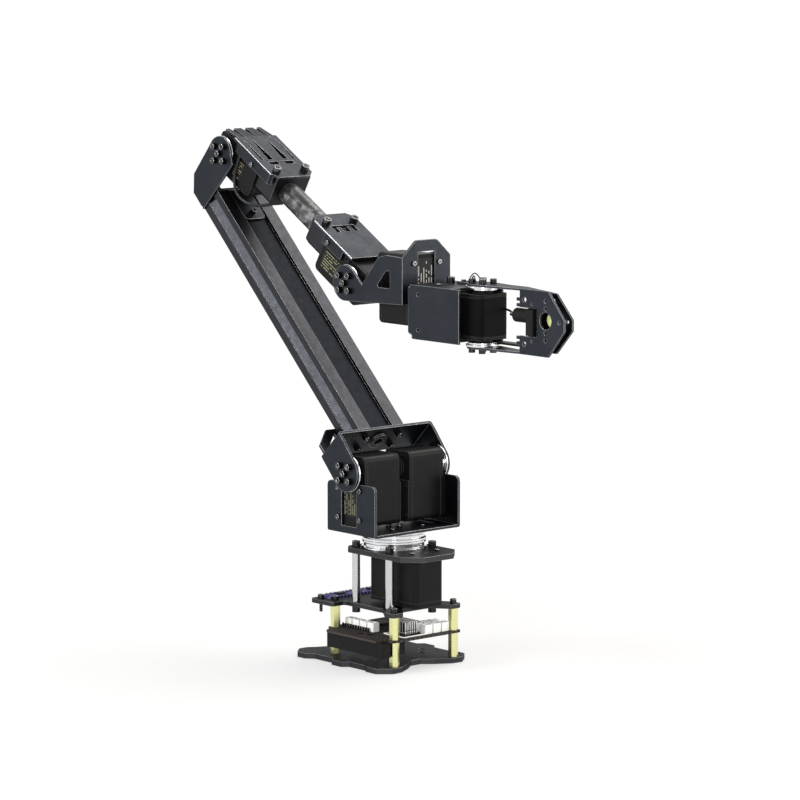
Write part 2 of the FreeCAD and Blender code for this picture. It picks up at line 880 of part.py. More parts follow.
def base_plate():
    """Lobed ground plate: four round corner lobes, drawn in waists, slots and sunk holes."""
    body = body_named("base_plate")
    slope = d.plate_tab_slope
    half = [
        (-d.plate_back_waist, -d.plate_waist_half),
        (-d.plate_back_slope, -d.plate_back_slope_half),
        (-d.plate_back, -d.plate_back_flank),
        (-d.plate_back, -d.plate_back_shoulder),
        (-d.plate_lobe_back, -d.plate_half_width),
        (-d.plate_lobe_back_end, -d.plate_half_width),
        (-d.plate_lobe_back_inner, -d.plate_side_waist),
        (-d.plate_tab_back, -d.plate_side_waist),
        (-d.plate_tab_back + slope, -d.plate_half_width),
        (-d.plate_tab_front - slope, -d.plate_half_width),
        (-d.plate_tab_front, -d.plate_side_waist),
        (d.plate_lobe_front_inner, -d.plate_side_waist),
        (d.plate_lobe_front, -d.plate_lobe_front_half),
        (d.plate_lobe_front_outer, -d.plate_lobe_front_half),
        (d.plate_front, -d.plate_front_shoulder),
        (d.plate_front - slope / 4, -d.plate_front_flank),
        (d.plate_front_waist, -d.plate_waist_half),
        (d.plate_nose, -d.plate_nose_half),
    ]
    add(body, "XY", 0.0, d.plate_thick, mirrored(half))
    dress("PartDesign::Fillet", body, d.plate_round, along(UPWARD, everywhere))
    shank = d.bolt_shank + d.hole_play
    pockets = []
    through = []
    for right in (1, -1):
        for over in (1, -1):
            through.append(ring(d.standoff_x * right, d.standoff_y * over, shank))
            head = d.bolt_head_radius + d.hole_play
            pockets.append(ring(d.standoff_x * right, d.standoff_y * over, head))
    for over in (1, -1):
        through.append(ring(-d.foot_hole_back, d.foot_hole_y * over, d.foot_hole_radius))
        through.append(ring(d.foot_hole_front, d.foot_hole_y * over, d.foot_hole_radius))
        small = d.plate_slot_half
        for middle, lane in ((-d.plate_slot_x, d.plate_slot_y),
                             (d.plate_inner_slot_x, d.plate_inner_slot_y)):
            through.append(slot(middle - small, middle + small, lane * over, d.plate_slot_radius))
    take(body, "XY", 0.0, d.plate_thick, *through)
    take(body, "XY", 0.0, d.sunk_head + d.sunk_gap, *pockets)
    return node(body, at(0, 0, 0))


def standoffs(label, low, length, stud):
    """Four hexagon standoffs, bored from their free ends, the upper ones with a stud below."""
    radius = d.standoff_flats.value / math.sqrt(3)
    turns = [math.radians(60 * i) for i in range(7)]
    corners = [V(radius * math.cos(angle), radius * math.sin(angle), 0) for angle in turns]
    piece = Part.Face(Part.makePolygon(corners)).extrude(V(0, 0, float(length)))
    bore = d.bolt_shank.value + d.tap_play.value
    deep = d.standoff_bore_depth.value
    piece = piece.cut(Part.makeCylinder(bore, deep, V(0, 0, float(length) - deep)))
    if stud:
        drop = d.board_thick.value + d.stud_length.value
        piece = piece.fuse(Part.makeCylinder(d.bolt_shank.value, drop, V(0, 0, -drop)))
    else:
        piece = piece.cut(Part.makeCylinder(bore, deep))
    shapes = []
    for right in (1, -1):
        for over in (1, -1):
            copy = piece.copy()
            copy.Placement = at(d.standoff_x * right, d.standoff_y * over, low)
            shapes.append(copy)
    item = doc.addObject("Part::Feature", label)
    item.Shape = Part.makeCompound(shapes)
    nodes.append(item)


def control_board():
    """Board between the standoffs, with a wing that reaches out over the supply box."""
    body = body_named("control_board")
    sides = [
        (-d.board_half_x, d.board_half_y),
        (-d.board_half_x, -d.board_half_y),
        (-d.board_wing_half, -d.board_half_y),
        (-d.board_wing_half, -d.board_wing),
        (d.board_wing_half, -d.board_wing),
        (d.board_wing_half, -d.board_half_y),
        (d.board_half_x, -d.board_half_y),
        (d.board_half_x, d.board_half_y),
    ]
    add(body, "XY", board_low, board_top, sides)
    dress("PartDesign::Fillet", body, d.board_round, along(UPWARD, everywhere))
    hole = d.bolt_shank + d.hole_play
    take(body, "XY", board_low, board_top,
         *[ring(d.standoff_x * right, d.standoff_y * over, hole)
           for right in (1, -1) for over in (1, -1)])
    return node(body, at(0, 0, 0))


def board_connectors():
    """Open topped plug sockets: two rows of three at the front and a row of four on the left."""
    wall = d.plug_wall.value
    tall = d.plug_tall.value

    def socket(long_x, long_y, middle_x, middle_y):
        wide = long_x.value
        deep = long_y.value
        shell = Part.makeBox(wide, deep, tall)
        hollow = Part.makeBox(wide - 2 * wall, deep - 2 * wall, tall, V(wall, wall, 2 * wall))
        shell = shell.cut(hollow)
        shell.Placement = at(middle_x - long_x / 2, middle_y - long_y / 2, board_top)
        return shell
    shapes = []
    for i in range(int(d.plug_front_count.value)):
        lane = d.plug_front_y + d.plug_pitch * i
        for row in (d.plug_front_x, d.plug_inner_x):
            shapes.append(socket(d.plug_deep, d.plug_wide, row, lane))
    for i in range(int(d.plug_left_count.value)):
        lane = d.plug_left_x + d.plug_pitch * i
        shapes.append(socket(d.plug_wide, d.plug_deep, lane, d.plug_left_y))
    item = doc.addObject("Part::Feature", "board_connectors")
    item.Shape = Part.makeCompound(shapes)
    nodes.append(item)


def board_heat_sink():
    """Comb of upright fins on a common floor."""
    body = body_named("board_heat_sink")
    floor = board_top + d.sink_floor
    top = board_top + d.sink_tall
    add(body, "XY", board_top, top, box(d.sink_left, d.sink_right, -d.sink_near, -d.sink_far))
    run = d.sink_right - d.sink_left - d.sink_fin
    count = int(round(run.value / d.sink_pitch.value))
    gaps = []
    for i in range(count):
        left = d.sink_left + d.sink_fin + d.sink_pitch * i
        right = left + d.sink_pitch - d.sink_fin
        gaps.append(box(left, right, -d.sink_near - d.sink_fin, -d.sink_far + d.sink_fin))
    take(body, "XY", floor, top + d.sink_fin, *gaps)
    return node(body, at(0, 0, 0))


def power_box():
    """Supply box hung under the board between the standoffs, with a narrow end block at the front."""
    body = body_named("power_box")
    half = d.standoff_x - d.standoff_flats / math.sqrt(3) - d.box_gap
    add(body, "XY", board_low - d.box_tall, board_low, [
        (-half, -d.box_far),
        (-half, -d.box_near),
        (half + d.box_end_long, -d.box_near),
        (half + d.box_end_long, -d.box_near + d.box_end_wide),
        (half, -d.box_near + d.box_end_wide),
        (half, -d.box_far),
    ])
    dress("PartDesign::Fillet", body, d.box_round, along(UPWARD, everywhere))
    return node(body, at(0, 0, 0))


def upper_deck():
    """T shaped deck: wide rear wing, narrow body, two front arms out to the standoffs."""
    body = body_named("upper_deck")
    half = [
        (-d.deck_back, -d.deck_wing),
        (-d.deck_wing_front, -d.deck_wing),
        (-d.deck_wing_front, -d.deck_side),
        (d.deck_side_front, -d.deck_side),
        (d.deck_arm_back, -d.deck_arm_out),
        (d.deck_arm_tip, -d.deck_arm_out),
        (d.deck_arm_tip, -d.deck_arm_in),
        (d.deck_nose, -d.deck_nose_half),
    ]
    add(body, "XY", deck_low, deck_top, mirrored(half))
    dress("PartDesign::Fillet", body, d.deck_round, along(UPWARD, everywhere))
    holes = []
    for right in (1, -1):
        for over in (1, -1):
            shank = d.bolt_shank + d.hole_play
            holes.append(ring(d.standoff_x * right, d.standoff_y * over, shank))
            wide = d.cap_shank + d.hole_play
            holes.append(ring(d.pillar_x * right, d.pillar_y * over, wide))
    for over in (1, -1):
        holes.append(ring(-d.wing_bolt_x, d.wing_bolt_y * over, d.bolt_shank + d.hole_play))
    holes.append(slot(-d.deck_slot_x, -d.deck_slot_x + d.deck_slot_half * 2, 0, d.deck_slot_radius))
    take(body, "XY", deck_low, deck_top, *holes)
    return node(body, at(0, 0, 0))


def rear_board():
    """Small board on the rear wing of the deck."""
    body = body_named("rear_board")
    add(body, "XY", deck_top, deck_top + d.rear_board_thick,
        box(-d.rear_board_back, -d.rear_board_front, -d.rear_board_half, d.rear_board_half))
    return node(body, at(0, 0, 0))


def pillars():
    """Four round pillars between deck and top plate, tapped at both ends."""
    tall = d.pillar_length.value
    deep = d.pillar_bore_depth.value
    bore = d.cap_shank.value + d.tap_play.value
    piece = Part.makeCylinder(d.pillar_radius.value, tall)
    piece = piece.cut(Part.makeCylinder(bore, deep))
    piece = piece.cut(Part.makeCylinder(bore, deep, V(0, 0, tall - deep)))
    shapes = []
    for right in (1, -1):
        for over in (1, -1):
            copy = piece.copy()
            copy.Placement = at(d.pillar_x * right, d.pillar_y * over, deck_top)
            shapes.append(copy)
    item = doc.addObject("Part::Feature", "pillars")
    item.Shape = Part.makeCompound(shapes)
    nodes.append(item)


def top_plate():
    """Plate over the base servo with cut front corners, horn bore and slots."""
    body = body_named("top_plate")
    half = [
        (-d.top_back, -d.top_half_width + d.top_back_corner),
        (-d.top_back + d.top_back_corner, -d.top_half_width),
        (d.top_front - d.top_corner, -d.top_half_width),
        (d.top_front, -d.top_half_width + d.top_corner),
    ]
    add(body, "XY", top_low, top_top, mirrored(half))
    holes = [ring(0, 0, d.top_bore)]
    for over in (1, -1):
        for right in (1, -1):
            wide = d.cap_shank + d.hole_play
            holes.append(ring(d.pillar_x * right, d.pillar_y * over, wide))
        shank = d.button_shank + d.hole_play
        holes.append(ring(d.case_hole_far, d.case_hole_side * over, shank))
    holes.append(slot(d.top_slot_x - d.top_slot_half, d.top_slot_x + d.top_slot_half, 0,
                      d.top_slot_radius))
    take(body, "XY", top_low, top_top, *holes)
    return node(body, at(0, 0, 0))


def base_screws():
    """Screws of the base stack: under the plate, on the deck, under and over the pillars."""
    spots = []
    bite = d.screw_bite
    for right in (1, -1):
        for over in (1, -1):
            across = d.standoff_x * right
            inward = d.standoff_y * over
            under = d.plate_thick - d.sunk_head - d.sunk_gap + bite
            seat = d.sunk_head + d.sunk_gap
            spots.append(("sunk", under, (across, inward, seat), -UPWARD))
            spots.append(("bolt", d.deck_thick + bite, (across, inward, deck_top), UPWARD))
            across = d.pillar_x * right
            inward = d.pillar_y * over
            spots.append(("cap", d.deck_thick + bite, (across, inward, deck_low), -UPWARD))
            spots.append(("cap", d.top_thick + bite, (across, inward, top_top), UPWARD))
    for over in (1, -1):
        seat = (d.case_hole_far, d.case_hole_side * over, top_top)
        spots.append(("button", d.top_thick + bite, seat, UPWARD))
        seat = (-d.wing_bolt_x, d.wing_bolt_y * over, deck_top)
        spots.append(("bolt", d.deck_thick + d.wing_bolt_tip, seat, UPWARD))
    screws("base_screws", at(0, 0, 0), spots)


# Turntable and shoulder

def grooved(low, high, inner):
    """Half section of a turntable ring with one groove round its rim."""
    middle = (low + high) / 2
    edge = d.race_radius
    sunk = d.race_radius - d.race_groove
    return [
        (inner, low), (edge, low), (edge, middle - d.race_groove_half * 2),
        (sunk, middle - d.race_groove_half), (sunk, middle + d.race_groove_half),
        (edge, middle + d.race_groove_half * 2), (edge, high), (inner, high),
    ]


def turntable():
    """Fixed lower ring and turning upper ring, whose sleeve runs in the lower ring."""
    lower = body_named("lower_race")
    low_top = top_top + d.race_low_tall
    turn(lower, grooved(top_top, low_top, d.race_bore))
    node(lower, at(0, 0, 0))
    upper = body_named("upper_race")
    turn(upper, grooved(low_top + d.race_gap, floor_low, d.sleeve_bore))
    sleeve = ring(0, 0, d.race_bore - d.sleeve_play)
    add(upper, "XY", top_top + d.sleeve_drop, low_top + d.race_gap, sleeve,
        ring(0, 0, d.sleeve_bore))
    slant = d.race_screw_radius * math.sqrt(0.5)
    holes = [ring(slant * right, slant * over, d.button_shank + d.tap_play)
             for right in (1, -1) for over in (1, -1)]
    take(upper, "XY", floor_low - d.case_hole_depth, floor_low, *holes)
    node(upper, at(0, 0, 0))


def base_horn():
    """Horn of the base servo with the column that carries the turning bracket."""
    body = body_named("base_horn")
    add(body, "XY", horn_low, horn_top, ring(0, 0, d.horn_radius))
    add(body, "XY", horn_low - d.shaft_depth, horn_low, ring(0, 0, d.shaft_radius))
    column_top = floor_low - (top_low - half_height)
    add(body, "XY", horn_top, column_top, ring(0, 0, d.column_radius))
    reach = d.column_screw_radius
    holes = [ring(reach * right, reach * over, d.button_shank + d.tap_play)
             for right, over in ((1, 0), (-1, 0), (0, 1), (0, -1))]
    take(body, "XY", column_top - d.case_hole_depth, column_top, *holes)
    node(body, base_servo_frame)


def shoulder_bracket():
    """Bent U bracket: floor on the turntable, two cheeks slotted open for the horns."""
    body = body_named("shoulder_bracket")
    outer = bracket_inner + d.sheet
    top = floor_low + d.bracket_tall
    profile = [
        (-outer, floor_low), (outer, floor_low), (outer, top), (bracket_inner, top),
        (bracket_inner, floor_top), (-bracket_inner, floor_top), (-bracket_inner, top),
        (-outer, top),
    ]
    add(body, "YZ", -d.bracket_back, d.bracket_front, profile)

    def lower_fold(middle):
        return abs(middle.z - floor_low.value) < 1e-6
    dress("PartDesign::Fillet", body, d.bend, along(FORWARD, lower_fold))
    left = d.shoulder_x - d.bracket_slot_half
    right = d.shoulder_x + d.bracket_slot_half
    take(body, "XZ", -outer, outer,
         box(left, right, floor_top + d.bracket_slot_sill, top + d.sheet))

    def upper_corner(middle):
        return abs(middle.z - top.value) < 1e-6
    dress("PartDesign::Fillet", body, d.bracket_corner, along(ACROSS, upper_corner))
    shank = d.button_shank + d.hole_play
    holes = []
    for over in (1, -1):
        for drop in (d.case_hole_near, d.case_hole_far):
            holes.append(ring(d.shoulder_x + d.case_hole_side * over, shoulder_z - drop, shank))
    take(body, "XZ", -outer, outer, *holes)
    floor = []
    slant = d.race_screw_radius * math.sqrt(0.5)
    for over in (1, -1):
        floor += [ring(slant * side, slant * over, shank) for side in (1, -1)]
        floor.append(ring(0, d.column_screw_radius * over, shank))
        floor.append(ring(d.column_screw_radius * over, 0, shank))
        half = d.bracket_floor_slot_half
        floor.append(slot(-half, half, d.bracket_floor_slot_y * over, d.bracket_floor_slot_radius))
    take(body, "XY", floor_low, floor_top, *floor)
    node(body, at(0, 0, 0))
    spots = []
    reach = d.sheet + d.screw_bite
    for side in (1, -1):
        for over in (1, -1):
            across = d.shoulder_x + d.case_hole_side * over
            for drop in (d.case_hole_near, d.case_hole_far):
                seat = (across, outer * side, shoulder_z - drop)
                spots.append(("button", reach, seat, ACROSS * side))
            spots.append(("button", reach, (slant * side, slant * over, floor_top), UPWARD))
    for right, over in ((1, 0), (-1, 0), (0, 1), (0, -1)):
        seat = (d.column_screw_radius * right, d.column_screw_radius * over, floor_top)
        spots.append(("button", reach, seat, UPWARD))
    screws("bracket_screws", at(0, 0, 0), spots)


# Upper arm

arm_front = d.arm_shift + d.arm_depth / 2
arm_rear = d.arm_shift - d.arm_depth / 2
arm_side = d.arm_width / 2


def arm_bolt_holes(radius):
    """The four screw channels in the profile ends."""
    return [ring(d.arm_shift + d.arm_bore_x * right, d.arm_bore_y * over, radius)
            for right in (1, -1) for over in (1, -1)]


def shoulder_yoke():
    """Bent fork of the upper arm: two round ended cheeks, web, and a fin behind the profile."""
    body = body_named("shoulder_yoke")
    outer = yoke_inner + d.sheet
    web = d.arm_start - d.sheet
    add(body, "XY", web, d.arm_start, box(-d.yoke_back, d.yoke_front, -outer, outer))
    cheek = [
        (-d.yoke_round, 0.0), (d.yoke_round, 0.0), (d.yoke_front, d.yoke_front_rise),
        (d.yoke_front, d.arm_start), (-d.yoke_back, d.arm_start),
    ]
    for low, high in ((yoke_inner, outer), (-outer, -yoke_inner)):
        add(body, "XZ", low, high, cheek)
        add(body, "XZ", low, high, ring(0, 0, d.yoke_round))

    def fold(middle):
        on_top = abs(middle.z - d.arm_start.value) < 1e-6
        return on_top and abs(abs(middle.y) - outer.value) < 1e-6
    dress("PartDesign::Fillet", body, d.bend, along(FORWARD, fold))
    fin = [
        (-d.yoke_fin_low, d.arm_start - d.sheet / 2),
        (-d.yoke_fin_low, d.arm_start + d.yoke_fin_shoulder),
        (-d.yoke_fin_top, d.arm_start + d.yoke_fin_rise),
        (d.yoke_fin_top, d.arm_start + d.yoke_fin_rise),
        (d.yoke_fin_low, d.arm_start + d.yoke_fin_shoulder),
        (d.yoke_fin_low, d.arm_start - d.sheet / 2),
    ]
    add(body, "YZ", arm_rear - d.sheet, arm_rear, fin)
    windows = []
    for over in (1, -1):
        low = d.arm_start + d.fin_window_low
        high = d.arm_start + d.fin_window_high
        windows.append([(d.fin_window_in * over, low), (d.fin_window_out * over, low),
                        (d.fin_window_in * over, high)])
    take(body, "YZ", arm_rear - d.sheet, arm_rear, *windows)
    shank = d.bolt_shank + d.hole_play
    take(body, "XZ", -outer, outer, *horn_circle(0, 0, shank, True))
    add(body, "XY", web - d.yoke_ring_tall, web, ring(d.arm_shift, 0, d.yoke_ring_radius))
    take(body, "XY", web - d.yoke_ring_tall, d.arm_start, ring(d.arm_shift, 0, d.yoke_web_bore),
         *arm_bolt_holes(shank))
    node(body, arm_frame)
    reach = d.sheet + d.horn_thick - d.tap_play
    screws("shoulder_horn_screws", arm_frame, horn_spots(reach, outer, (1, -1), True))
    bolts = []
    for right in (1, -1):
        for over in (1, -1):
            seat = (d.arm_shift + d.arm_bore_x * right, d.arm_bore_y * over, web)
            bolts.append(("bolt", d.arm_bolt_reach, seat, -UPWARD))
    screws("yoke_bolts", arm_frame, bolts)


def arm_extrusion():
    """Aluminium profile: recessed faces, slanted side grooves, middle cavity, four screw channels."""
    body = body_named("arm_extrusion")
    groove_rear = arm_rear + d.arm_groove_back
    groove_front = groove_rear + d.arm_groove
    recess = d.arm_recess / 2
    front_floor = arm_front - d.arm_recess_deep
    rear_floor = arm_rear + d.arm_recess_deep
    step = arm_side - d.arm_groove_step
    sunk = arm_side - d.arm_groove_deep
    half = [
        (rear_floor, -recess), (arm_rear, -recess), (arm_rear, -arm_side),
        (groove_rear, -arm_side), (groove_rear, -step),
        (groove_front, -sunk), (groove_front, -arm_side),
        (arm_front, -arm_side), (arm_front, -recess), (front_floor, -recess),
    ]
    cavity = box(d.arm_shift - d.arm_cavity_x / 2, d.arm_shift + d.arm_cavity_x / 2,
                 -d.arm_cavity_y / 2, d.arm_cavity_y / 2)
    add(body, "XY", d.arm_start, arm_end, mirrored(half), cavity,
        *arm_bolt_holes(d.bolt_shank + d.tap_play))
    node(body, arm_frame)


def elbow_bracket():
    """Bent U bracket on the profile end, cheeks running forward to the elbow axis."""
    body = body_named("elbow_bracket")
    inner = horn_top
    outer = inner + d.thin_sheet
    web_top = arm_end + d.thin_sheet
    add(body, "XY", arm_end, web_top, box(arm_rear, arm_front, -outer, outer))
    ahead = d.elbow_ahead
    level = elbow_level
    cheek = [
        (ahead - d.elbow_back + d.elbow_back_corner, arm_end), (ahead + d.elbow_toe, arm_end),
        (ahead + d.elbow_toe_front, level - d.elbow_toe_drop),
        (ahead - d.elbow_crown_back, level + d.elbow_crown_top),
        (ahead - d.elbow_slope_back, level + d.elbow_slope_top),
        (ahead - d.elbow_back, level + d.elbow_back_top),
        (ahead - d.elbow_back, arm_end + d.elbow_back_corner),
    ]
    for low, high in ((inner, outer), (-outer, -inner)):
        add(body, "XZ", low, high, cheek)
        add(body, "XZ", low, high, ring(ahead, level, d.elbow_round))
    half = d.tab_half
    tab = box(-half, half, arm_end - d.tab_length, arm_end + d.thin_sheet / 2)
    front_floor = arm_front - d.arm_recess_deep
    rear_floor = arm_rear + d.arm_recess_deep
    add(body, "YZ", front_floor, front_floor + d.thin_sheet, tab)
    add(body, "YZ", rear_floor - d.thin_sheet, rear_floor, tab)

    def tab_corner(middle):
        return abs(middle.z - (arm_end - d.tab_length).value) < 1e-6
    dress("PartDesign::Fillet", body, d.tab_round, along(FORWARD, tab_corner))
    shank = d.bolt_shank + d.hole_play
    take(body, "YZ", rear_floor - d.thin_sheet, front_floor + d.thin_sheet,
         ring(0, arm_end - d.tab_screw, shank))
    take(body, "XZ", -outer, outer, *horn_circle(ahead, level, shank, True))
    take(body, "XY", arm_end, web_top, *arm_bolt_holes(shank))
    node(body, arm_frame)
    bolts = []
    for right in (1, -1):
        for over in (1, -1):
            seat = (d.arm_shift + d.arm_bore_x * right, d.arm_bore_y * over, web_top)
            bolts.append(("bolt", d.arm_bolt_reach, seat, UPWARD))
    level = arm_end - d.tab_screw
    reach = d.thin_sheet - d.tap_play
    bolts.append(("bolt", reach, (front_floor + d.thin_sheet, 0, level), FORWARD))
    bolts.append(("bolt", reach, (rear_floor - d.thin_sheet, 0, level), -FORWARD))
    screws("elbow_bolts", arm_frame, bolts)
    reach = d.thin_sheet + d.horn_thick - d.tap_play
    screws("elbow_horn_screws", elbow_frame, horn_spots(reach, outer, (1, -1), True))


# Forearm

hood_outer = d.hood_inner + d.hood_thick
flank_outer = half_height + d.hood_flank
cap_outer = d.cap_inner + d.hood_thick


def elbow_hood():
    """Cover over the elbow servo: roof, narrower sloping back, tapered slots, flanks."""
    body = body_named("elbow_hood")
    roof = d.hood_inner
    knee = roof - d.hood_slope_drop
    knee_back = d.hood_slope_back + d.hood_thick / 2
    slope = [
        (d.hood_bend, roof), (-d.hood_slope_back, knee),
        (-knee_back, knee + d.hood_thick), (d.hood_bend, hood_outer),
    ]
    add(body, "XZ", -flank_outer, flank_outer, box(d.hood_bend, d.hood_front, roof, hood_outer))
    add(body, "XZ", -d.hood_back_half, d.hood_back_half, slope)
    for low, high in ((half_height, flank_outer), (-flank_outer, -half_height)):
        add(body, "XZ", low, high,
            box(d.hood_flank_back, d.hood_front, d.hood_flank_low, hood_outer))

    def roof_edge(middle):
        outer_edge = abs(abs(middle.y) - flank_outer.value) < 1e-6
        return outer_edge and abs(middle.z - hood_outer.value) < 1e-6
    dress("PartDesign::Fillet", body, d.hood_edge_round, along(FORWARD, roof_edge))
    slots = []
    lanes = ((d.hood_slot_lane, d.hood_slot_wide), (d.hood_edge_lane, d.hood_edge_wide))
    for over in (1, -1):
        for lane, wide in lanes:
            middle = lane * over
            slots.append([
                (d.hood_slot_back, middle - d.hood_slot_narrow), (d.hood_slot_front, middle - wide),
                (d.hood_slot_front, middle + wide), (d.hood_slot_back, middle + d.hood_slot_narrow),
            ])
    for step in (-1, 0, 1):
        middle = d.hood_tail_lane * step
        slots.append([
            (-d.hood_tail_slot_back, middle - d.hood_tail_wide),
            (d.hood_tail_slot_front, middle - d.hood_slot_narrow),
            (d.hood_tail_slot_front, middle + d.hood_slot_narrow),
            (-d.hood_tail_slot_back, middle + d.hood_tail_wide),
        ])
    tongue = d.hood_tee_tongue_half
    slots.append([
        (d.hood_tee_back, -d.hood_tee_half), (d.hood_tee_front, -d.hood_tee_half),
        (d.hood_tee_front, -tongue), (d.hood_tee_tongue, -tongue), (d.hood_tee_tongue, tongue),
        (d.hood_tee_front, tongue), (d.hood_tee_front, d.hood_tee_half),
        (d.hood_tee_back, d.hood_tee_half),
    ])
    corners = []
    for over in (1, -1):
        edge = (flank_outer + d.hood_thick) * over
        corners.append([(d.hood_front + d.hood_thick, flank_outer * over - d.hood_corner * over),
                        (d.hood_front + d.hood_thick, edge),
                        (d.hood_front - d.hood_corner, edge)])
        shank = d.cap_shank + d.hole_play
        slots.append(ring(d.hood_screw_x, d.hood_screw_y * over, shank))
    take(body, "XY", d.hood_flank_low, hood_outer, *slots)
    take(body, "XY", 0.0, hood_outer, *corners)
    shank = d.button_shank + d.hole_play
    take(body, "XZ", -flank_outer, flank_outer,
         ring(d.case_hole_far, d.case_hole_side, shank))
    node(body, fore_frame)


def clamp(name, start, roof, screw_x, screw_y):
    """Block that grips the tube end: round bore, split underneath, cut lower corners."""
    body = body_named(name)
    end = start + d.clamp_long
    half = [
        (-d.clamp_low, -d.clamp_half + d.clamp_corner),
        (-d.clamp_low + d.clamp_corner, -d.clamp_half),
        (roof, -d.clamp_half),
    ]
    outline = [(upward, across) for across, upward in mirrored(half)]
    add(body, "YZ", start, end, outline, ring(0, d.tube_rise, d.tube_radius + d.tap_play))
    take(body, "YZ", start, end,
         box(-d.clamp_split, d.clamp_split, -d.clamp_low - d.clamp_split, d.tube_rise))
    holes = [ring(screw_x, screw_y * over, d.cap_shank + d.tap_play) for over in (1, -1)]
    take(body, "XY", roof - d.arm_bolt_reach, roof, *holes)
    node(body, fore_frame)


def forearm_tube(start, end):
    """Round tube between the two clamps."""
    body = body_named("forearm_tube")
    add(body, "YZ", start, end, ring(0, d.tube_rise, d.tube_radius),
        ring(0, d.tube_rise, d.tube_radius - d.tube_wall))
    node(body, fore_frame)


def wrist_cap():
    """Cover plate over the wrist servo with bent flanks, cut rear corners and an E shaped slot."""
    body = body_named("wrist_cap")
    length = d.fore_length
    back = length - d.cap_back
    front = length - d.cap_front
    half = [
        (back, -flank_outer + d.cap_corner), (back + d.cap_corner, -flank_outer),
        (front, -flank_outer),
    ]
    add(body, "XY", d.cap_inner, cap_outer, mirrored(half))
    flank = box(length - d.servo_length + d.servo_shaft_inset, front - d.horn_radius,
                d.cap_flank_low, cap_outer)
    for low, high in ((half_height, flank_outer), (-flank_outer, -half_height)):
        add(body, "XZ", low, high, flank)

    def roof_edge(middle):
        outer_edge = abs(abs(middle.y) - flank_outer.value) < 1e-6
        return outer_edge and abs(middle.z - cap_outer.value) < 1e-6
    dress("PartDesign::Fillet", body, d.hood_edge_round, along(FORWARD, roof_edge))
    ee_back = length - d.cap_ee_back
    ee_front = length - d.cap_ee_front
    wide = d.cap_ee_half
    bar = d.cap_ee_bar
    prong = d.cap_ee_prong
    thin = d.cap_ee_middle / 2
    ee = [
        (ee_back, -wide), (ee_front, -wide), (ee_front, -wide + prong),
        (ee_back + bar, -wide + prong), (ee_back + bar, -thin), (ee_front, -thin),
        (ee_front, thin), (ee_back + bar, thin), (ee_back + bar, wide - prong),
        (ee_front, wide - prong), (ee_front, wide), (ee_back, wide),
    ]
    holes = [ring(length - d.cap_screw_x, d.cap_screw_y * over, d.cap_shank + d.hole_play)
             for over in (1, -1)]
    take(body, "XY", d.cap_inner, cap_outer, ee, *holes)
    shank = d.button_shank + d.hole_play
    take(body, "XZ", -flank_outer, flank_outer,
         ring(length - d.case_hole_far, d.case_hole_side, shank))
    node(body, fore_frame)


def forearm_screws():
    """Screws of the forearm covers: down into the clamps and sideways into the servos."""
    spots = []
    reach = d.hood_thick + d.screw_bite
    side_reach = d.hood_flank + d.screw_bite
    for over in (1, -1):
        spots.append(("cap", reach, (d.hood_screw_x, d.hood_screw_y * over, hood_outer), UPWARD))
        across = d.fore_length - d.cap_screw_x
        spots.append(("cap", reach, (across, d.cap_screw_y * over, cap_outer), UPWARD))
        seat = (d.case_hole_far, flank_outer * over, d.case_hole_side)
        spots.append(("button", side_reach, seat, ACROSS * over))
        seat = (d.fore_length - d.case_hole_far, flank_outer * over, d.case_hole_side)
        spots.append(("button", side_reach, seat, ACROSS * over))
    screws("forearm_screws", fore_frame, spots)


# Share of the shorter run that a cable bend takes up
BEND_SHARE = 0.45


def cord(label, frame, points, radius):
    """A round cable along straight runs joined by arcs that touch both runs."""
    spots = [V(*(float(value) for value in point)) for point in points]
    pieces = []
    start = spots[0]
    length = 0.0
    radii = []
    for before, corner, after in zip(spots, spots[1:], spots[2:]):
        first = corner - before
        second = after - corner
        turned = first.getAngle(second)
        share = BEND_SHARE * min(first.Length, second.Length)
        bend = share / math.tan(turned / 2)
        radii.append(round(bend, 1))
        enter = corner - first * (share / first.Length)
        leave = corner + second * (share / second.Length)
        inward = second / second.Length - first / first.Length
        inward.normalize()
        middle = corner + inward * (bend / math.cos(turned / 2) - bend)
        pieces.append(Part.LineSegment(start, enter).toShape())
        pieces.append(Part.Arc(enter, middle, leave).toShape())
        length += (enter - start).Length + bend * turned
        start = leave
    pieces.append(Part.LineSegment(start, spots[-1]).toShape())
    length += (spots[-1] - start).Length
    path = Part.Wire(pieces)
    direction = spots[1] - spots[0]
    circle = Part.Wire([Part.Circle(spots[0], direction, float(radius)).toShape()])
    tube = path.makePipeShell([circle], True, False)
    section = math.pi * float(radius) ** 2
    print("cord %s bend radii %s volume share %.3f"
          % (label, radii, tube.Volume / (section * length)))
    item = doc.addObject("Part::Feature", label)
    item.Shape = tube
    node(item, frame)


def elbow_cable():
    """Servo cable that hangs in a loop beside the elbow servo and runs under the tube."""
    lane = -d.cable_lane
    points = [
        (d.cable_back, lane, d.cable_top), (d.cable_back, lane, -d.cable_low),
        (d.cable_turn, lane, -d.cable_low), (d.cable_end, -d.cable_end_lane, -d.cable_end_low),
    ]
    cord("elbow_cable", fore_frame, points, d.cable_radius)


# Wrist

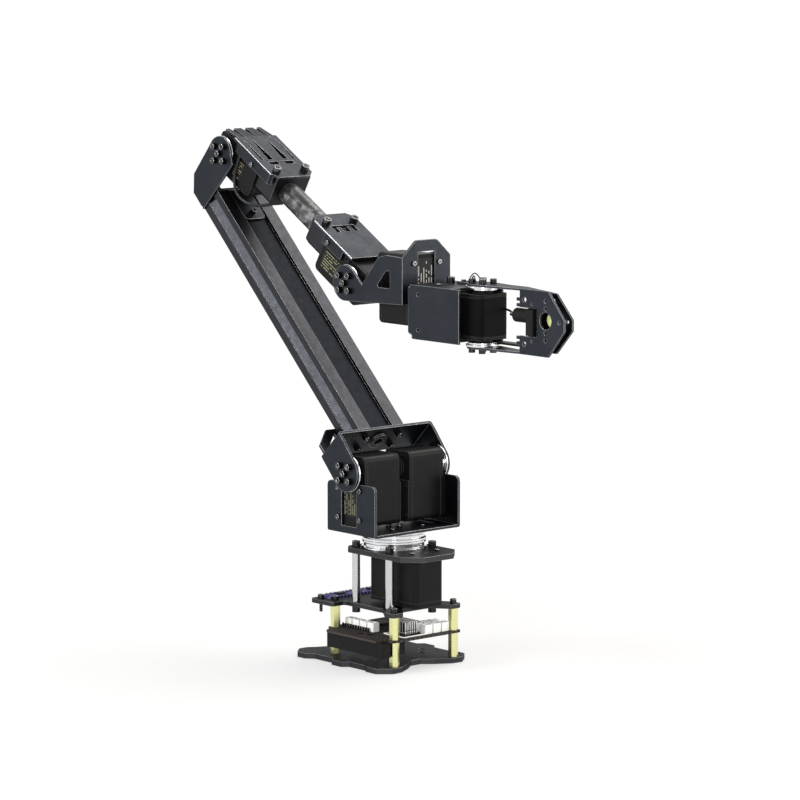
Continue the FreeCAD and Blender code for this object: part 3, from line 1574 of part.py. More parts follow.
def wrist_yoke():
    """Bent fork of the wrist: cheeks with a V notch and a window, web cut out for the horn."""
    body = body_named("wrist_yoke")
    inner = horn_top
    outer = inner + d.thin_sheet
    face = d.wrist_front
    front = face + d.thin_sheet
    cheek = [
        (0.0, -d.wrist_round), (front, -d.wrist_low), (front, d.wrist_high),
        (d.wrist_peak_front, d.wrist_peak_high), (d.wrist_peak_back, d.wrist_peak_top),
        (d.wrist_notch, 0.0), (d.wrist_cheek, d.wrist_cheek), (0.0, 0.0),
    ]
    web = [
        (-outer, -d.wrist_low), (outer, -d.wrist_low), (outer, d.wrist_high),
        (d.wrist_web_half, d.wrist_web_top), (-d.wrist_web_half, d.wrist_web_top),
        (-outer, d.wrist_high),
    ]
    add(body, "YZ", face, front, web)
    for low, high in ((inner, outer), (-outer, -inner)):
        add(body, "XZ", low, high, cheek)
        add(body, "XZ", low, high, ring(0, 0, d.wrist_round))
    window = [
        (d.wrist_window_back, d.wrist_window_low), (d.wrist_window_front, d.wrist_window_low),
        (d.wrist_window_front, d.wrist_window_high), (d.wrist_window_peak, d.wrist_window_high),
    ]
    take(body, "XZ", -outer, outer, window)

    def window_corner(middle):
        return any(abs(middle.x - float(across)) + abs(middle.z - float(upward)) < 1e-6
                   for across, upward in window)
    dress("PartDesign::Fillet", body, d.wrist_window_round, along(ACROSS, window_corner))

    def web_corner(middle):
        return abs(middle.z - d.wrist_web_top.value) < 1e-6
    dress("PartDesign::Fillet", body, d.wrist_web_round, along(FORWARD, web_corner))
    shank = d.bolt_shank + d.hole_play
    take(body, "XZ", -outer, outer, *horn_circle(0, 0, shank))
    half = d.wrist_web_slot_half
    take(body, "YZ", face, front,
         box(-half, half, -d.wrist_low - d.thin_sheet, d.wrist_web_slot_top))
    take(body, "YZ", face, front, ring(0, -d.roll_drop, d.roll_bore))
    small = d.button_shank + d.hole_play
    holes = []
    for rise in (d.case_hole_near, d.case_hole_far):
        for over in (1, -1):
            holes.append(ring(d.case_hole_side * over, rise - d.roll_drop, small))
    take(body, "YZ", face, front, *holes)
    node(body, wrist_frame)
    reach = d.thin_sheet + d.horn_thick - d.tap_play
    screws("wrist_horn_screws", wrist_frame, horn_spots(reach, outer, (1, -1)))
    spots = []
    for rise in (d.case_hole_near, d.case_hole_far):
        for over in (1, -1):
            seat = (front, d.case_hole_side * over, rise - d.roll_drop)
            spots.append(("button", d.thin_sheet + d.screw_bite, seat, FORWARD))
    screws("roll_screws", wrist_frame, spots)


# Hand and jaws

hand_roof = half_height
hand_roof_top = hand_roof + d.thin_sheet
arm_plate_top = hand_roof_top + d.thin_sheet
jaw_low = horn_top
jaw_top = jaw_low + d.thin_sheet
jaw_crown = d.jaw_back + d.jaw_crown_run
jaw_tip = d.jaw_back + d.jaw_tip_run
jaw_eye_x = d.jaw_back + d.jaw_eye_run


def both_sides(low, high):
    """The same layer above and below the middle plane of the hand."""
    low = as_size(low)
    high = as_size(high)
    return ((low, high), (-high, -low))


def gripper_bracket():
    """Box bracket of the hand: rear web on the roll horn, side cheeks, roof and floor."""
    body = body_named("gripper_bracket")
    wide = d.hand_half_width
    inner = wide - d.thin_sheet
    add(body, "YZ", 0.0, d.thin_sheet, box(-wide, wide, -hand_roof_top, hand_roof_top))
    for low, high in both_sides(hand_roof, hand_roof_top):
        add(body, "XY", low, high, box(0.0, d.hand_roof_front, -wide, wide))
    cheek = [
        (d.hand_corner_low, -hand_roof_top), (d.hand_side_front, -hand_roof_top),
        (d.hand_side_front, hand_roof_top), (d.hand_corner_top, hand_roof_top),
        (0.0, hand_roof_top - d.hand_corner_top), (0.0, -hand_roof_top + d.hand_corner_low),
    ]
    for low, high in both_sides(inner, wide):
        add(body, "XZ", low, high, cheek)
    top = hand_roof_top
    upper = [(-d.thin_sheet, top - d.hand_corner_top), (d.hand_corner_top, top + d.thin_sheet),
             (-d.thin_sheet, top + d.thin_sheet)]
    lower = [(-d.thin_sheet, -top + d.hand_corner_low), (d.hand_corner_low, -top - d.thin_sheet),
             (-d.thin_sheet, -top - d.thin_sheet)]
    take(body, "XZ", -wide, wide, upper, lower)
    shank = d.bolt_shank + d.hole_play
    take(body, "YZ", 0.0, d.thin_sheet, *horn_circle(0, 0, shank))
    small = d.button_shank + d.hole_play
    far = d.hand_shaft - d.case_hole_far
    half = d.hand_slot_half
    roof = [slot(d.hand_slot_x - half, d.hand_slot_x + half, 0, d.hand_slot_radius)]
    for over in (1, -1):
        roof.append(ring(far, d.case_hole_side * over, small))
    roof.append(ring(d.fixed_screw_x, d.fixed_screw_y, small))
    roof.append(ring(d.hand_bolt_x, d.hand_bolt_y, d.cap_shank + d.hole_play))
    take(body, "XY", -hand_roof_top, hand_roof_top, *roof)
    take(body, "XZ", -wide, wide, ring(d.hand_hole_x, d.hand_hole_z, shank),
         ring(d.hand_hole_x, -d.hand_hole_z, shank))
    node(body, hand_frame)
    spots = []
    for over in (1, -1):
        outward = UPWARD * over
        deep = d.thin_sheet + d.screw_bite
        seat = (far, -d.case_hole_side, hand_roof_top * over)
        spots.append(("button", deep, seat, outward))
        seat = (far, d.case_hole_side, arm_plate_top * over)
        spots.append(("button", deep + d.thin_sheet, seat, outward))
        seat = (d.fixed_screw_x, d.fixed_screw_y, arm_plate_top * over)
        spots.append(("button", d.thin_sheet * 2 - d.tap_play, seat, outward))
        seat = (d.hand_bolt_x, d.hand_bolt_y, hand_roof_top * over)
        spots.append(("cap", d.thin_sheet - d.tap_play, seat, outward))
    screws("gripper_screws", hand_frame, spots)


def roll_horn():
    """Horn and spacer between the roll servo and the hand, with its screws."""
    body = horn("roll_horn", roll_frame, d.roll_spacer)
    nodes.append(body)
    spots = horn_spots(d.thin_sheet + d.horn_thick, d.thin_sheet, (1,))
    quarter = FreeCAD.Placement(V(), FreeCAD.Rotation(UPWARD, -90))
    screws("roll_horn_screws", hand_frame.multiply(quarter), spots)


def jaw_outline(half):
    """Five sided jaw plate that narrows to a blunt tip."""
    lower = [(d.jaw_back, -half), (jaw_crown, -half), (jaw_tip, -d.jaw_tip_half)]
    return mirrored(lower)


def jaw_holes():
    """Small holes of a jaw plate, round its eye, behind it and at its tip."""
    holes = [ring(d.jaw_back + d.jaw_tip_hole_run, d.jaw_eye_z, d.jaw_hole_radius)]
    for over in (1, -1):
        holes.append(ring(jaw_eye_x, d.jaw_eye_z + d.jaw_hole_mid * over, d.jaw_hole_radius))
        holes.append(ring(jaw_eye_x, d.jaw_eye_z + d.jaw_hole_high * over, d.jaw_hole_radius))
        across = d.jaw_back + d.jaw_hole_run
        holes.append(ring(across, d.jaw_hole_z * over, d.jaw_wide_hole_radius))
        across = d.jaw_back + d.jaw_small_hole_run
        holes.append(ring(across, d.jaw_small_hole_z * over, d.jaw_small_hole_radius))
    return holes


def fixed_jaw():
    """Rear jaw: plate with two arms laid on the hand's roof and floor."""
    body = body_named("fixed_jaw")
    near = d.jaw_gap_half
    far = near + d.thin_sheet
    add(body, "XZ", near, far, jaw_outline(arm_plate_top))
    plan = [
        (d.fixed_arm_back, d.fixed_arm_in), (d.fixed_arm_step, d.fixed_arm_in),
        (d.fixed_arm_step, d.fixed_arm_lane), (d.fixed_arm_turn, d.fixed_arm_lane),
        (d.jaw_back, near), (jaw_crown, near), (jaw_crown, far),
        (d.fixed_arm_turn, d.fixed_arm_out), (d.fixed_arm_back, d.fixed_arm_out),
    ]
    for low, high in both_sides(hand_roof_top, arm_plate_top):
        add(body, "XY", low, high, plan)
    take(body, "XZ", near, far, *jaw_holes())
    small = d.button_shank + d.hole_play
    take(body, "XY", -arm_plate_top, arm_plate_top,
         ring(d.hand_shaft - d.case_hole_far, d.case_hole_side, small),
         ring(d.fixed_screw_x, d.fixed_screw_y, small))
    node(body, hand_frame)


def moving_jaw():
    """Front jaw: plate with an eye, a toothed and notched rear edge, and two arms on the horns."""
    body = body_named("moving_jaw")
    near = -d.jaw_gap_half
    far = near - d.thin_sheet
    add(body, "XZ", far, near, jaw_outline(jaw_top))
    reach = d.hand_shaft
    plan = [
        (reach, -d.jaw_arm_round), (d.jaw_back, far), (jaw_crown, far), (jaw_crown, near),
        (d.jaw_back, -near), (reach, d.jaw_arm_round),
    ]
    for low, high in both_sides(jaw_low, jaw_top):
        add(body, "XY", low, high, plan)
        add(body, "XY", low, high, ring(reach, 0, d.jaw_arm_round))
    for over in (1, -1):
        for step in (0, 1):
            level = (d.jaw_lug_z + d.jaw_lug_pitch * step) * over
            add(body, "XZ", far, near, box(d.jaw_back - d.jaw_lug, d.jaw_back + d.jaw_lug,
                                           level - d.jaw_lug_half, level + d.jaw_lug_half))
    notch = box(d.jaw_back - d.jaw_lug, d.jaw_back + d.jaw_notch_run,
                -d.jaw_notch_half, d.jaw_notch_half)
    eye = ring(jaw_eye_x, d.jaw_eye_z, d.jaw_eye_radius)
    take(body, "XZ", far, near, notch, eye, *jaw_holes())
    holes = horn_circle(reach, 0, d.bolt_shank + d.hole_play)
    take(body, "XY", -jaw_top, jaw_top, *holes)
    node(body, hand_frame)
    tip = FreeCAD.Placement(V(), FreeCAD.Rotation(FORWARD, 90))
    place = hand_frame.multiply(at(reach, 0, 0)).multiply(tip)
    reach = d.thin_sheet + d.horn_thick - d.tap_play
    screws("gripper_horn_screws", place, horn_spots(reach, jaw_top, (1, -1)))


def tip_sensor():
    """Round housing and upright block on the inner face of the fixed jaw."""
    body = body_named("tip_sensor")
    near = d.jaw_gap_half
    half = d.sensor_block_half
    sensor_back = d.jaw_back - d.sensor_overhang
    block_back = d.jaw_back + d.sensor_block_run
    add(body, "XY", -half, half,
        box(block_back, block_back + d.sensor_block_long, -d.sensor_near, near))
    add(body, "YZ", sensor_back, block_back,
        ring(near - d.sensor_radius, d.sensor_rise, d.sensor_radius))
    node(body, hand_frame)
    pad = body_named("jaw_pad")
    add(pad, "XZ", near - d.pad_thick, near, ring(jaw_eye_x, d.jaw_eye_z, d.pad_radius))
    node(pad, hand_frame)
    lane = near - d.sensor_radius
    start = d.hand_shaft + d.servo_shaft_inset + d.lead_gap
    end = sensor_back - d.lead_gap
    run = (end - start) / 3
    points = [
        (start, d.lead_side, d.sensor_rise + d.lead_rise), (start + run, d.lead_side, d.sensor_rise),
        (start + run * 2, lane, d.sensor_rise - d.lead_dip), (end, lane, d.sensor_rise),
    ]
    cord("sensor_lead", hand_frame, points, d.lead_radius)


# The whole arm, from the ground up

base_plate()
standoffs("lower_standoffs", plate_top, d.standoff_low, False)
control_board()
board_connectors()
board_heat_sink()
power_box()
standoffs("upper_standoffs", board_top, d.standoff_high, True)
upper_deck()
rear_board()
pillars()
top_plate()
base_screws()
servo("base_servo", [base_servo_frame], True, False)
turntable()
base_horn()
shoulder_bracket()
servo("shoulder_servo", [shoulder_servo_frame(1), shoulder_servo_frame(-1)], True, False)
shoulder_yoke()
horns("shoulder_horns", arm_frame, d.servo_pair_half, True)
arm_extrusion()
elbow_bracket()
horns("elbow_horns", elbow_frame, 0.0, True)
servo("elbow_servo", [elbow_servo_frame], True, True)
elbow_hood()
elbow_clamp_start = servo_far + d.clamp_gap
wrist_clamp_start = d.fore_length - servo_far - d.clamp_gap - d.clamp_long
clamp("elbow_clamp", elbow_clamp_start, d.hood_inner, d.hood_screw_x, d.hood_screw_y)
clamp("wrist_clamp", wrist_clamp_start, d.cap_inner, d.fore_length - d.cap_screw_x, d.cap_screw_y)
tube_start = elbow_clamp_start + d.clamp_long - d.tube_seat
tube_end = wrist_clamp_start + d.tube_seat
forearm_tube(tube_start, tube_end)
wrist_cap()
servo("wrist_servo", [wrist_servo_frame], True, True)
forearm_screws()
elbow_cable()
horns("wrist_horns", wrist_frame, 0.0)
wrist_yoke()
servo("roll_servo", [roll_frame], True, False)
roll_horn()
gripper_bracket()
servo("gripper_servo", [grip_frame], True, True)
fixed_jaw()
tip_sensor()
moving_jaw()
horns("gripper_horns", grip_frame.multiply(axes(FORWARD, -ACROSS)), 0.0)

doc.recompute()
faults = []
for item in doc.Objects:
    if "Invalid" in item.State or "Error" in item.State:
        faults.append("%s: %s" % (item.Label, item.State))
for item in nodes:
    if item.Shape.isNull() or not item.Shape.isValid():
        faults.append("%s: no valid shape" % item.Label)
if faults:
    raise RuntimeError("; ".join(faults))
os.makedirs("parts", exist_ok=True)
for item in nodes:
    item.Shape.exportStep("parts/%s.step" % item.Label)
print("pieces written: %d" % len(nodes))
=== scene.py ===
"""Looks of the desktop servo arm: finishes for every CAD piece, labels, board parts and cables."""
import json

import bpy
import numpy as np
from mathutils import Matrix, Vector


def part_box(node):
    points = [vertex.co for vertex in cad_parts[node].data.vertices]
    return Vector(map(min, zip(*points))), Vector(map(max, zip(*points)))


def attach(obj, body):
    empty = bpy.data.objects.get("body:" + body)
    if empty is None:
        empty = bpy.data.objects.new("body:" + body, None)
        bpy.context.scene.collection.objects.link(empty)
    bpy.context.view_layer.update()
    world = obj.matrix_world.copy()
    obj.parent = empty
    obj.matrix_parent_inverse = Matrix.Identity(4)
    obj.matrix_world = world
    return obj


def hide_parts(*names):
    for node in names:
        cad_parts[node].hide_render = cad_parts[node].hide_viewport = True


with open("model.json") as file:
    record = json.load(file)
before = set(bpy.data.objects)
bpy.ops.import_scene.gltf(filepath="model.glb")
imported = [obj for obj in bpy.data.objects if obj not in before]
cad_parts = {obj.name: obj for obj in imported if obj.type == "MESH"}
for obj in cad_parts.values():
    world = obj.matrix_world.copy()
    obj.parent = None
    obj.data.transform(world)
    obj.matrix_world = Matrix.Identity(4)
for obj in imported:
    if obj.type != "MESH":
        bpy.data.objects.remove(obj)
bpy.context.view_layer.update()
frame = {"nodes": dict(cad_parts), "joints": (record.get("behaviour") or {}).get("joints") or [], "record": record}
MM = 0.001

# Places of the joints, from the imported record, and the directions of the arm's links

joints = {joint["name"]: joint for joint in frame["joints"]}
shoulder = np.array(joints["shoulder_pitch"]["pos_m"])
elbow = np.array(joints["elbow_pitch"]["pos_m"])
wrist = np.array(joints["wrist_pitch"]["pos_m"])
jaw = np.array(joints["jaw_swing"]["pos_m"])
REACH = np.array([1.0, 0.0, 0.0])
ACROSS = np.array([0.0, 1.0, 0.0])
UP = np.array([0.0, 0.0, 1.0])
fore_run = (wrist - elbow) / np.linalg.norm(wrist - elbow)
fore_rise = np.cross(fore_run, ACROSS)
FOREARM = np.array([fore_run, ACROSS, fore_rise])
SQUARE = np.array([REACH, ACROSS, UP])
roll_horn_low, roll_horn_high = (np.array(corner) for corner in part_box("roll_horn"))
hand_start = np.array([roll_horn_high[0], 0.0, (roll_horn_low[2] + roll_horn_high[2]) / 2])


def placed(points, origin, axes):
    """World places, in metres, of points given in millimetres along a link's own axes."""
    return origin + np.asarray(points, float) * MM @ axes


# Camera at the photograph's viewpoint

TARGET = np.array([0.0, 0.0, 0.250])
VIEW_TURN = np.radians(48.928)
VIEW_DIP = np.radians(7.515)
VIEW_DISTANCE = 3.39986
VIEW_LENS = 166.85
FRAME_SHIFT_RIGHT = 5.40 * MM
FRAME_SHIFT_DOWN = 6.98 * MM
view_right = np.array([np.cos(VIEW_TURN), np.sin(VIEW_TURN), 0.0])
view_level = np.array([-np.sin(VIEW_TURN), np.cos(VIEW_TURN), 0.0])


def place_camera():
    """A camera on the photograph's line of sight, aimed so that the arm sits where it does there."""
    gaze = view_level * np.cos(VIEW_DIP) - UP * np.sin(VIEW_DIP)
    upright = view_level * np.sin(VIEW_DIP) + UP * np.cos(VIEW_DIP)
    stand = TARGET - gaze * VIEW_DISTANCE
    aim = TARGET + view_right * FRAME_SHIFT_RIGHT - upright * FRAME_SHIFT_DOWN
    data = bpy.data.cameras.new("photo_camera")
    data.lens = VIEW_LENS
    data.sensor_width = 36.0
    data.clip_end = 50.0
    camera = bpy.data.objects.new("photo_camera", data)
    camera.location = stand
    camera.rotation_euler = Vector(aim - stand).to_track_quat("-Z", "Y").to_euler()
    bpy.context.collection.objects.link(camera)
    bpy.context.scene.camera = camera


place_camera()


# Cables, on the routes of their CAD solids

ELBOW_CABLE_ROUTE = [(22.5, -24.3, 12.3), (22.5, -24.3, -22.0), (62.0, -24.3, -22.0),
                     (70.0, -9.0, -11.5)]
ELBOW_CABLE_ACROSS = 3.0 * MM
SENSOR_LEAD_ROUTE = [(85.7, 13.0, 6.2), (96.233, 13.0, 5.0), (106.767, -2.3, 3.4),
                     (117.3, -2.3, 5.0)]
SENSOR_LEAD_ACROSS = 2.0 * MM


def run_cable(name, route, across, body, node):
    """A round cable whose centre line is a quadratic spline over the route's points."""
    curve = bpy.data.curves.new(name, "CURVE")
    curve.dimensions = "3D"
    line = curve.splines.new("NURBS")
    line.points.add(len(route) - 1)
    for point, place in zip(line.points, route):
        point.co = (*place, 1.0)
        point.radius = across / 2
    line.order_u = 3
    line.use_endpoint_u = True
    line.resolution_u = 24
    curve.bevel_depth = 1.0
    curve.bevel_resolution = 6
    curve.use_fill_caps = True
    cable = bpy.data.objects.new(name, curve)
    bpy.context.collection.objects.link(cable)
    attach(cable, body)
    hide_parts(node)
    return cable


elbow_loop = run_cable("elbow_loop", placed(ELBOW_CABLE_ROUTE, elbow, FOREARM),
                       ELBOW_CABLE_ACROSS, "forearm", "elbow_cable")
tip_lead = run_cable("tip_lead", placed(SENSOR_LEAD_ROUTE, hand_start, SQUARE),
                     SENSOR_LEAD_ACROSS, "hand", "sensor_lead")


# Node trees

BEVEL_SAMPLES = 6


class Finish:
    """A material under construction: a principled shader and short names for the nodes around it."""

    def __init__(self, name):
        self.material = bpy.data.materials.new(name)
        self.material.use_nodes = True
        self.tree = self.material.node_tree
        self.shader = self.tree.nodes["Principled BSDF"]
        self.place = self.node("ShaderNodeTexCoord").outputs["Object"]

    def node(self, kind, **settings):
        made = self.tree.nodes.new(kind)
        for name, value in settings.items():
            setattr(made, name, value)
        return made

    def link(self, source, target):
        self.tree.links.new(source, target)

    def fixed(self, **values):
        """Numbers that are the same all over, written on the shader's own sockets."""
        names = {"metal": "Metallic", "gloss": "Specular IOR Level", "rough": "Roughness",
                 "coat": "Coat Weight", "coat_rough": "Coat Roughness"}
        for name, value in values.items():
            self.shader.inputs[names[name]].default_value = value

    def rim_tint(self, grey):
        """Holds back the mirror that flat metal turns into at a low angle."""
        self.shader.inputs["Specular Tint"].default_value = (grey, grey, grey, 1.0)

    def stretched(self, scale, source=None):
        """Coordinates stretched by three factors."""
        mapping = self.node("ShaderNodeMapping")
        mapping.inputs["Scale"].default_value = scale
        self.link(source or self.place, mapping.inputs["Vector"])
        return mapping.outputs["Vector"]

    def noise(self, scale, detail=3.0, source=None):
        made = self.node("ShaderNodeTexNoise")
        made.inputs["Scale"].default_value = scale
        made.inputs["Detail"].default_value = detail
        self.link(source or self.place, made.inputs["Vector"])
        return made.outputs["Fac"]

    def cells(self, scale, source=None):
        made = self.node("ShaderNodeTexVoronoi")
        made.inputs["Scale"].default_value = scale
        self.link(source or self.place, made.inputs["Vector"])
        return made

    def sum_of(self, operation, first, second=0.0):
        """One step of arithmetic on grey values or numbers."""
        made = self.node("ShaderNodeMath", operation=operation)
        for place, value in enumerate((first, second)):
            if isinstance(value, float):
                made.inputs[place].default_value = value
            else:
                self.link(value, made.inputs[place])
        return made.outputs["Value"]

    def spread(self, value, low, high, start=0.3, end=0.7):
        """Maps a grey value onto a range."""
        made = self.node("ShaderNodeMapRange")
        made.inputs["From Min"].default_value = start
        made.inputs["From Max"].default_value = end
        made.inputs["To Min"].default_value = low
        made.inputs["To Max"].default_value = high
        self.link(value, made.inputs["Value"])
        return made.outputs["Result"]

    def shades(self, value, *stops):
        """A colour ramp from grey value to colour."""
        made = self.node("ShaderNodeValToRGB")
        ramp = made.color_ramp
        while len(ramp.elements) < len(stops):
            ramp.elements.new(0.5)
        for element, (position, colour) in zip(ramp.elements, stops):
            element.position = position
            element.color = (*colour, 1.0)
        self.link(value, made.inputs["Fac"])
        return made.outputs["Color"]

    def edges(self, radius, start=0.01, end=0.16):
        """One along edges and zero on open faces: how far a rounded normal leans from the flat one."""
        rounded = self.node("ShaderNodeBevel", samples=BEVEL_SAMPLES)
        rounded.inputs["Radius"].default_value = radius
        flat = self.node("ShaderNodeNewGeometry")
        lean = self.node("ShaderNodeVectorMath", operation="DOT_PRODUCT")
        self.link(rounded.outputs["Normal"], lean.inputs[0])
        self.link(flat.outputs["Normal"], lean.inputs[1])
        return self.spread(lean.outputs["Value"], 0.0, 1.0, 1.0 - start, 1.0 - end)

    def along(self, direction, middle):
        """How far a point lies from a middle plane, on either side, along a direction."""
        reach = self.node("ShaderNodeVectorMath", operation="DOT_PRODUCT")
        reach.inputs[1].default_value = direction
        self.link(self.place, reach.inputs[0])
        return self.sum_of("ABSOLUTE", self.sum_of("SUBTRACT", reach.outputs["Value"], float(middle)))

    def blend(self, share, first, second):
        """A mix of a colour socket and a plain colour."""
        made = self.node("ShaderNodeMix", data_type="RGBA")
        self.link(share, made.inputs[0])
        self.link(first, made.inputs[6])
        made.inputs[7].default_value = (*second, 1.0)
        return made.outputs[2]

    def colour(self, socket):
        self.link(socket, self.shader.inputs["Base Color"])

    def roughness(self, socket):
        self.link(socket, self.shader.inputs["Roughness"])

    def relief(self, height, strength, depth, edge=0.0):
        """Bump from a height, over edges that are rounded by the given radius."""
        bump = self.node("ShaderNodeBump")
        bump.inputs["Strength"].default_value = strength
        bump.inputs["Distance"].default_value = depth
        self.link(height, bump.inputs["Height"])
        if edge:
            rounded = self.node("ShaderNodeBevel", samples=BEVEL_SAMPLES)
            rounded.inputs["Radius"].default_value = edge
            self.link(rounded.outputs["Normal"], bump.inputs["Normal"])
        self.link(bump.outputs["Normal"], self.shader.inputs["Normal"])


# Painted shade: the share of the dark tone that the profile's channel is darkened to.
CHANNEL_SHADE_SHARE = (0.18, 0.20, 0.235)


def anodised_sheet(name, dark, light, edge_tone, rough, low_angle, channel=None, bend=None):
    """Black anodised aluminium: cloudy tone, fine etched grain and edges worn paler, where the paler edges are
    also a painted highlight. A channel, given as a depth direction, its middle, the floor's and the lips' distance
    and the half width, is painted darker as shade. A bend, given as a rise direction, its middle, and the rise and
    half width where it starts, gets a painted highlight."""
    finish = Finish(name)
    cloud = finish.noise(scale=38.0, detail=4.0)
    ground = finish.shades(cloud, (0.3, dark), (0.7, light))
    if channel:
        direction, middle, floor, lips, half_width = channel
        # Painted shade: inside the channel the cloudy tone is darkened towards a share of the dark tone.
        low = finish.spread(finish.along(direction, middle), 1.0, 0.0, floor, lips)
        inside = finish.spread(finish.along(ACROSS, 0.0), 1.0, 0.0, half_width, half_width + 0.1 * MM)
        ground = finish.blend(finish.sum_of("MULTIPLY", low, inside), ground,
                              [share * part for share, part in zip(CHANNEL_SHADE_SHARE, dark)])
    # Edges worn paler, and the same paler edges are a painted highlight.
    rubbed_and_highlit = finish.sum_of("MULTIPLY", finish.edges(1.0 * MM),
                           finish.spread(finish.noise(scale=210.0), 0.75, 1.0))
    if bend:
        direction, middle, rise, half_width = bend
        # Painted highlight: a band along the bend, beyond the given rise and half width, takes the edge tone.
        raised = finish.spread(finish.along(direction, middle), 0.0, 1.0, rise, rise + 0.5 * MM)
        outside = finish.spread(finish.along(ACROSS, 0.0), 0.0, 1.0, half_width, half_width + 0.5 * MM)
        rubbed_and_highlit = finish.sum_of("MAXIMUM", finish.sum_of("MULTIPLY", rubbed_and_highlit, 0.55),
                               finish.sum_of("MULTIPLY", raised, outside))
    finish.colour(finish.blend(rubbed_and_highlit, ground, edge_tone))
    finish.roughness(finish.spread(finish.noise(scale=160.0), rough - 0.05, rough + 0.06))
    finish.relief(finish.noise(scale=2600.0, detail=2.0), strength=0.10, depth=0.1 * MM,
                  edge=0.7 * MM)
    finish.fixed(metal=1.0)
    finish.rim_tint(low_angle)
    return finish.material


def moulded_plastic(name, dark, light, rough, gloss):
    """Moulded servo plastic: spark eroded grain, even tone, softly rounded edges that are painted lighter as a
    highlight.
    """
    finish = Finish(name)
    ground = finish.shades(finish.noise(scale=60.0, detail=2.0), (0.35, dark), (0.65, light))
    # Painted highlight: edges lightened to eight times the light tone.
    finish.colour(finish.blend(finish.edges(1.2 * MM), ground, [8.0 * part for part in light]))
    finish.roughness(finish.spread(finish.noise(scale=420.0), rough - 0.04, rough + 0.05))
    finish.relief(finish.noise(scale=1900.0, detail=3.0), strength=0.2, depth=0.12 * MM,
                  edge=0.9 * MM)
    finish.fixed(gloss=gloss)
    return finish.material


def turned_metal(name, dark, light, rough, stretch, marked=0.04):
    """Bare metal with fine tool marks drawn out along one direction."""
    finish = Finish(name)
    marks = finish.noise(900.0, 2.0, finish.stretched(stretch))
    finish.colour(finish.shades(marks, (0.3, dark), (0.7, light)))
    finish.roughness(finish.spread(marks, rough - 0.03, rough + 0.04))
    finish.relief(marks, strength=marked, depth=0.02 * MM, edge=0.4 * MM)
    finish.fixed(metal=1.0)
    return finish.material


def black_oxide(name, tone):
    """Oiled black oxide on screws, worn to bare steel on the rims of the heads; the pale rims are also a painted
    highlight.
    """
    finish = Finish(name)
    wear = finish.noise(scale=700.0, detail=4.0)
    ground = finish.shades(wear, (0.35, [0.4 * tone] * 3), (0.75, [tone] * 3))
    # Pale rims: partly wear to bare steel, partly a painted highlight.
    finish.colour(finish.blend(finish.edges(0.6 * MM), ground, (0.62, 0.62, 0.63)))
    finish.roughness(finish.spread(wear, 0.20, 0.32))
    finish.relief(finish.noise(scale=2500.0), strength=0.1, depth=0.1 * MM, edge=0.5 * MM)
    finish.fixed(metal=1.0)
    finish.rim_tint(0.4)
    return finish.material


def printed_board(name, ground, track, scale):
    """Printed board: lacquer over tracks that run square to the edges."""
    finish = Finish(name)
    tracks = finish.node("ShaderNodeTexBrick")
    tracks.inputs["Scale"].default_value = scale
    tracks.inputs["Mortar Size"].default_value = 0.035
    tracks.inputs["Color1"].default_value = (*ground, 1.0)
    tracks.inputs["Color2"].default_value = (*[0.8 * part for part in ground], 1.0)
    tracks.inputs["Mortar"].default_value = (*track, 1.0)
    finish.link(finish.place, tracks.inputs["Vector"])
    finish.colour(tracks.outputs["Color"])
    finish.roughness(finish.spread(finish.noise(scale=300.0), 0.62, 0.76))
    finish.relief(tracks.outputs["Fac"], strength=0.2, depth=0.05 * MM)
    finish.fixed(gloss=0.06)
    return finish.material


def forged_carbon(name):
    """Chopped fibre tube: soft shards of different grey under a clear coat."""
    finish = Finish(name)
    shards = finish.cells(150.0, finish.stretched((1.0, 1.5, 1.2)))
    split = finish.node("ShaderNodeSeparateColor")
    finish.link(shards.outputs["Color"], split.inputs["Color"])
    fibre = finish.noise(scale=420.0, detail=5.0)
    drift = finish.sum_of("MULTIPLY", finish.noise(scale=140.0, detail=4.0),
                          finish.spread(split.outputs["Red"], 0.75, 1.25, 0.0, 1.0))
    mixed = finish.sum_of("MULTIPLY", drift, finish.spread(fibre, 0.85, 1.15))
    finish.colour(finish.shades(mixed, (0.38, (0.012, 0.012, 0.013)), (0.52, (0.038, 0.038, 0.040)),
                                (0.74, (0.16, 0.16, 0.165))))
    finish.roughness(finish.spread(split.outputs["Green"], 0.32, 0.5, 0.0, 1.0))
    finish.fixed(coat=0.2, coat_rough=0.2, gloss=0.25)
    finish.relief(fibre, strength=0.06, depth=0.1 * MM)
    return finish.material


def plain_moulding(name, dark, light, rough, gloss):
    """Small moulded pieces: slight mottling and grain."""
    finish = Finish(name)
    finish.colour(finish.shades(finish.noise(scale=220.0, detail=3.0), (0.35, dark), (0.65, light)))
    finish.roughness(finish.spread(finish.noise(scale=500.0), rough - 0.05, rough + 0.05))
    finish.relief(finish.noise(scale=1800.0), strength=0.12, depth=0.1 * MM, edge=0.4 * MM)
    finish.fixed(gloss=gloss)
    return finish.material


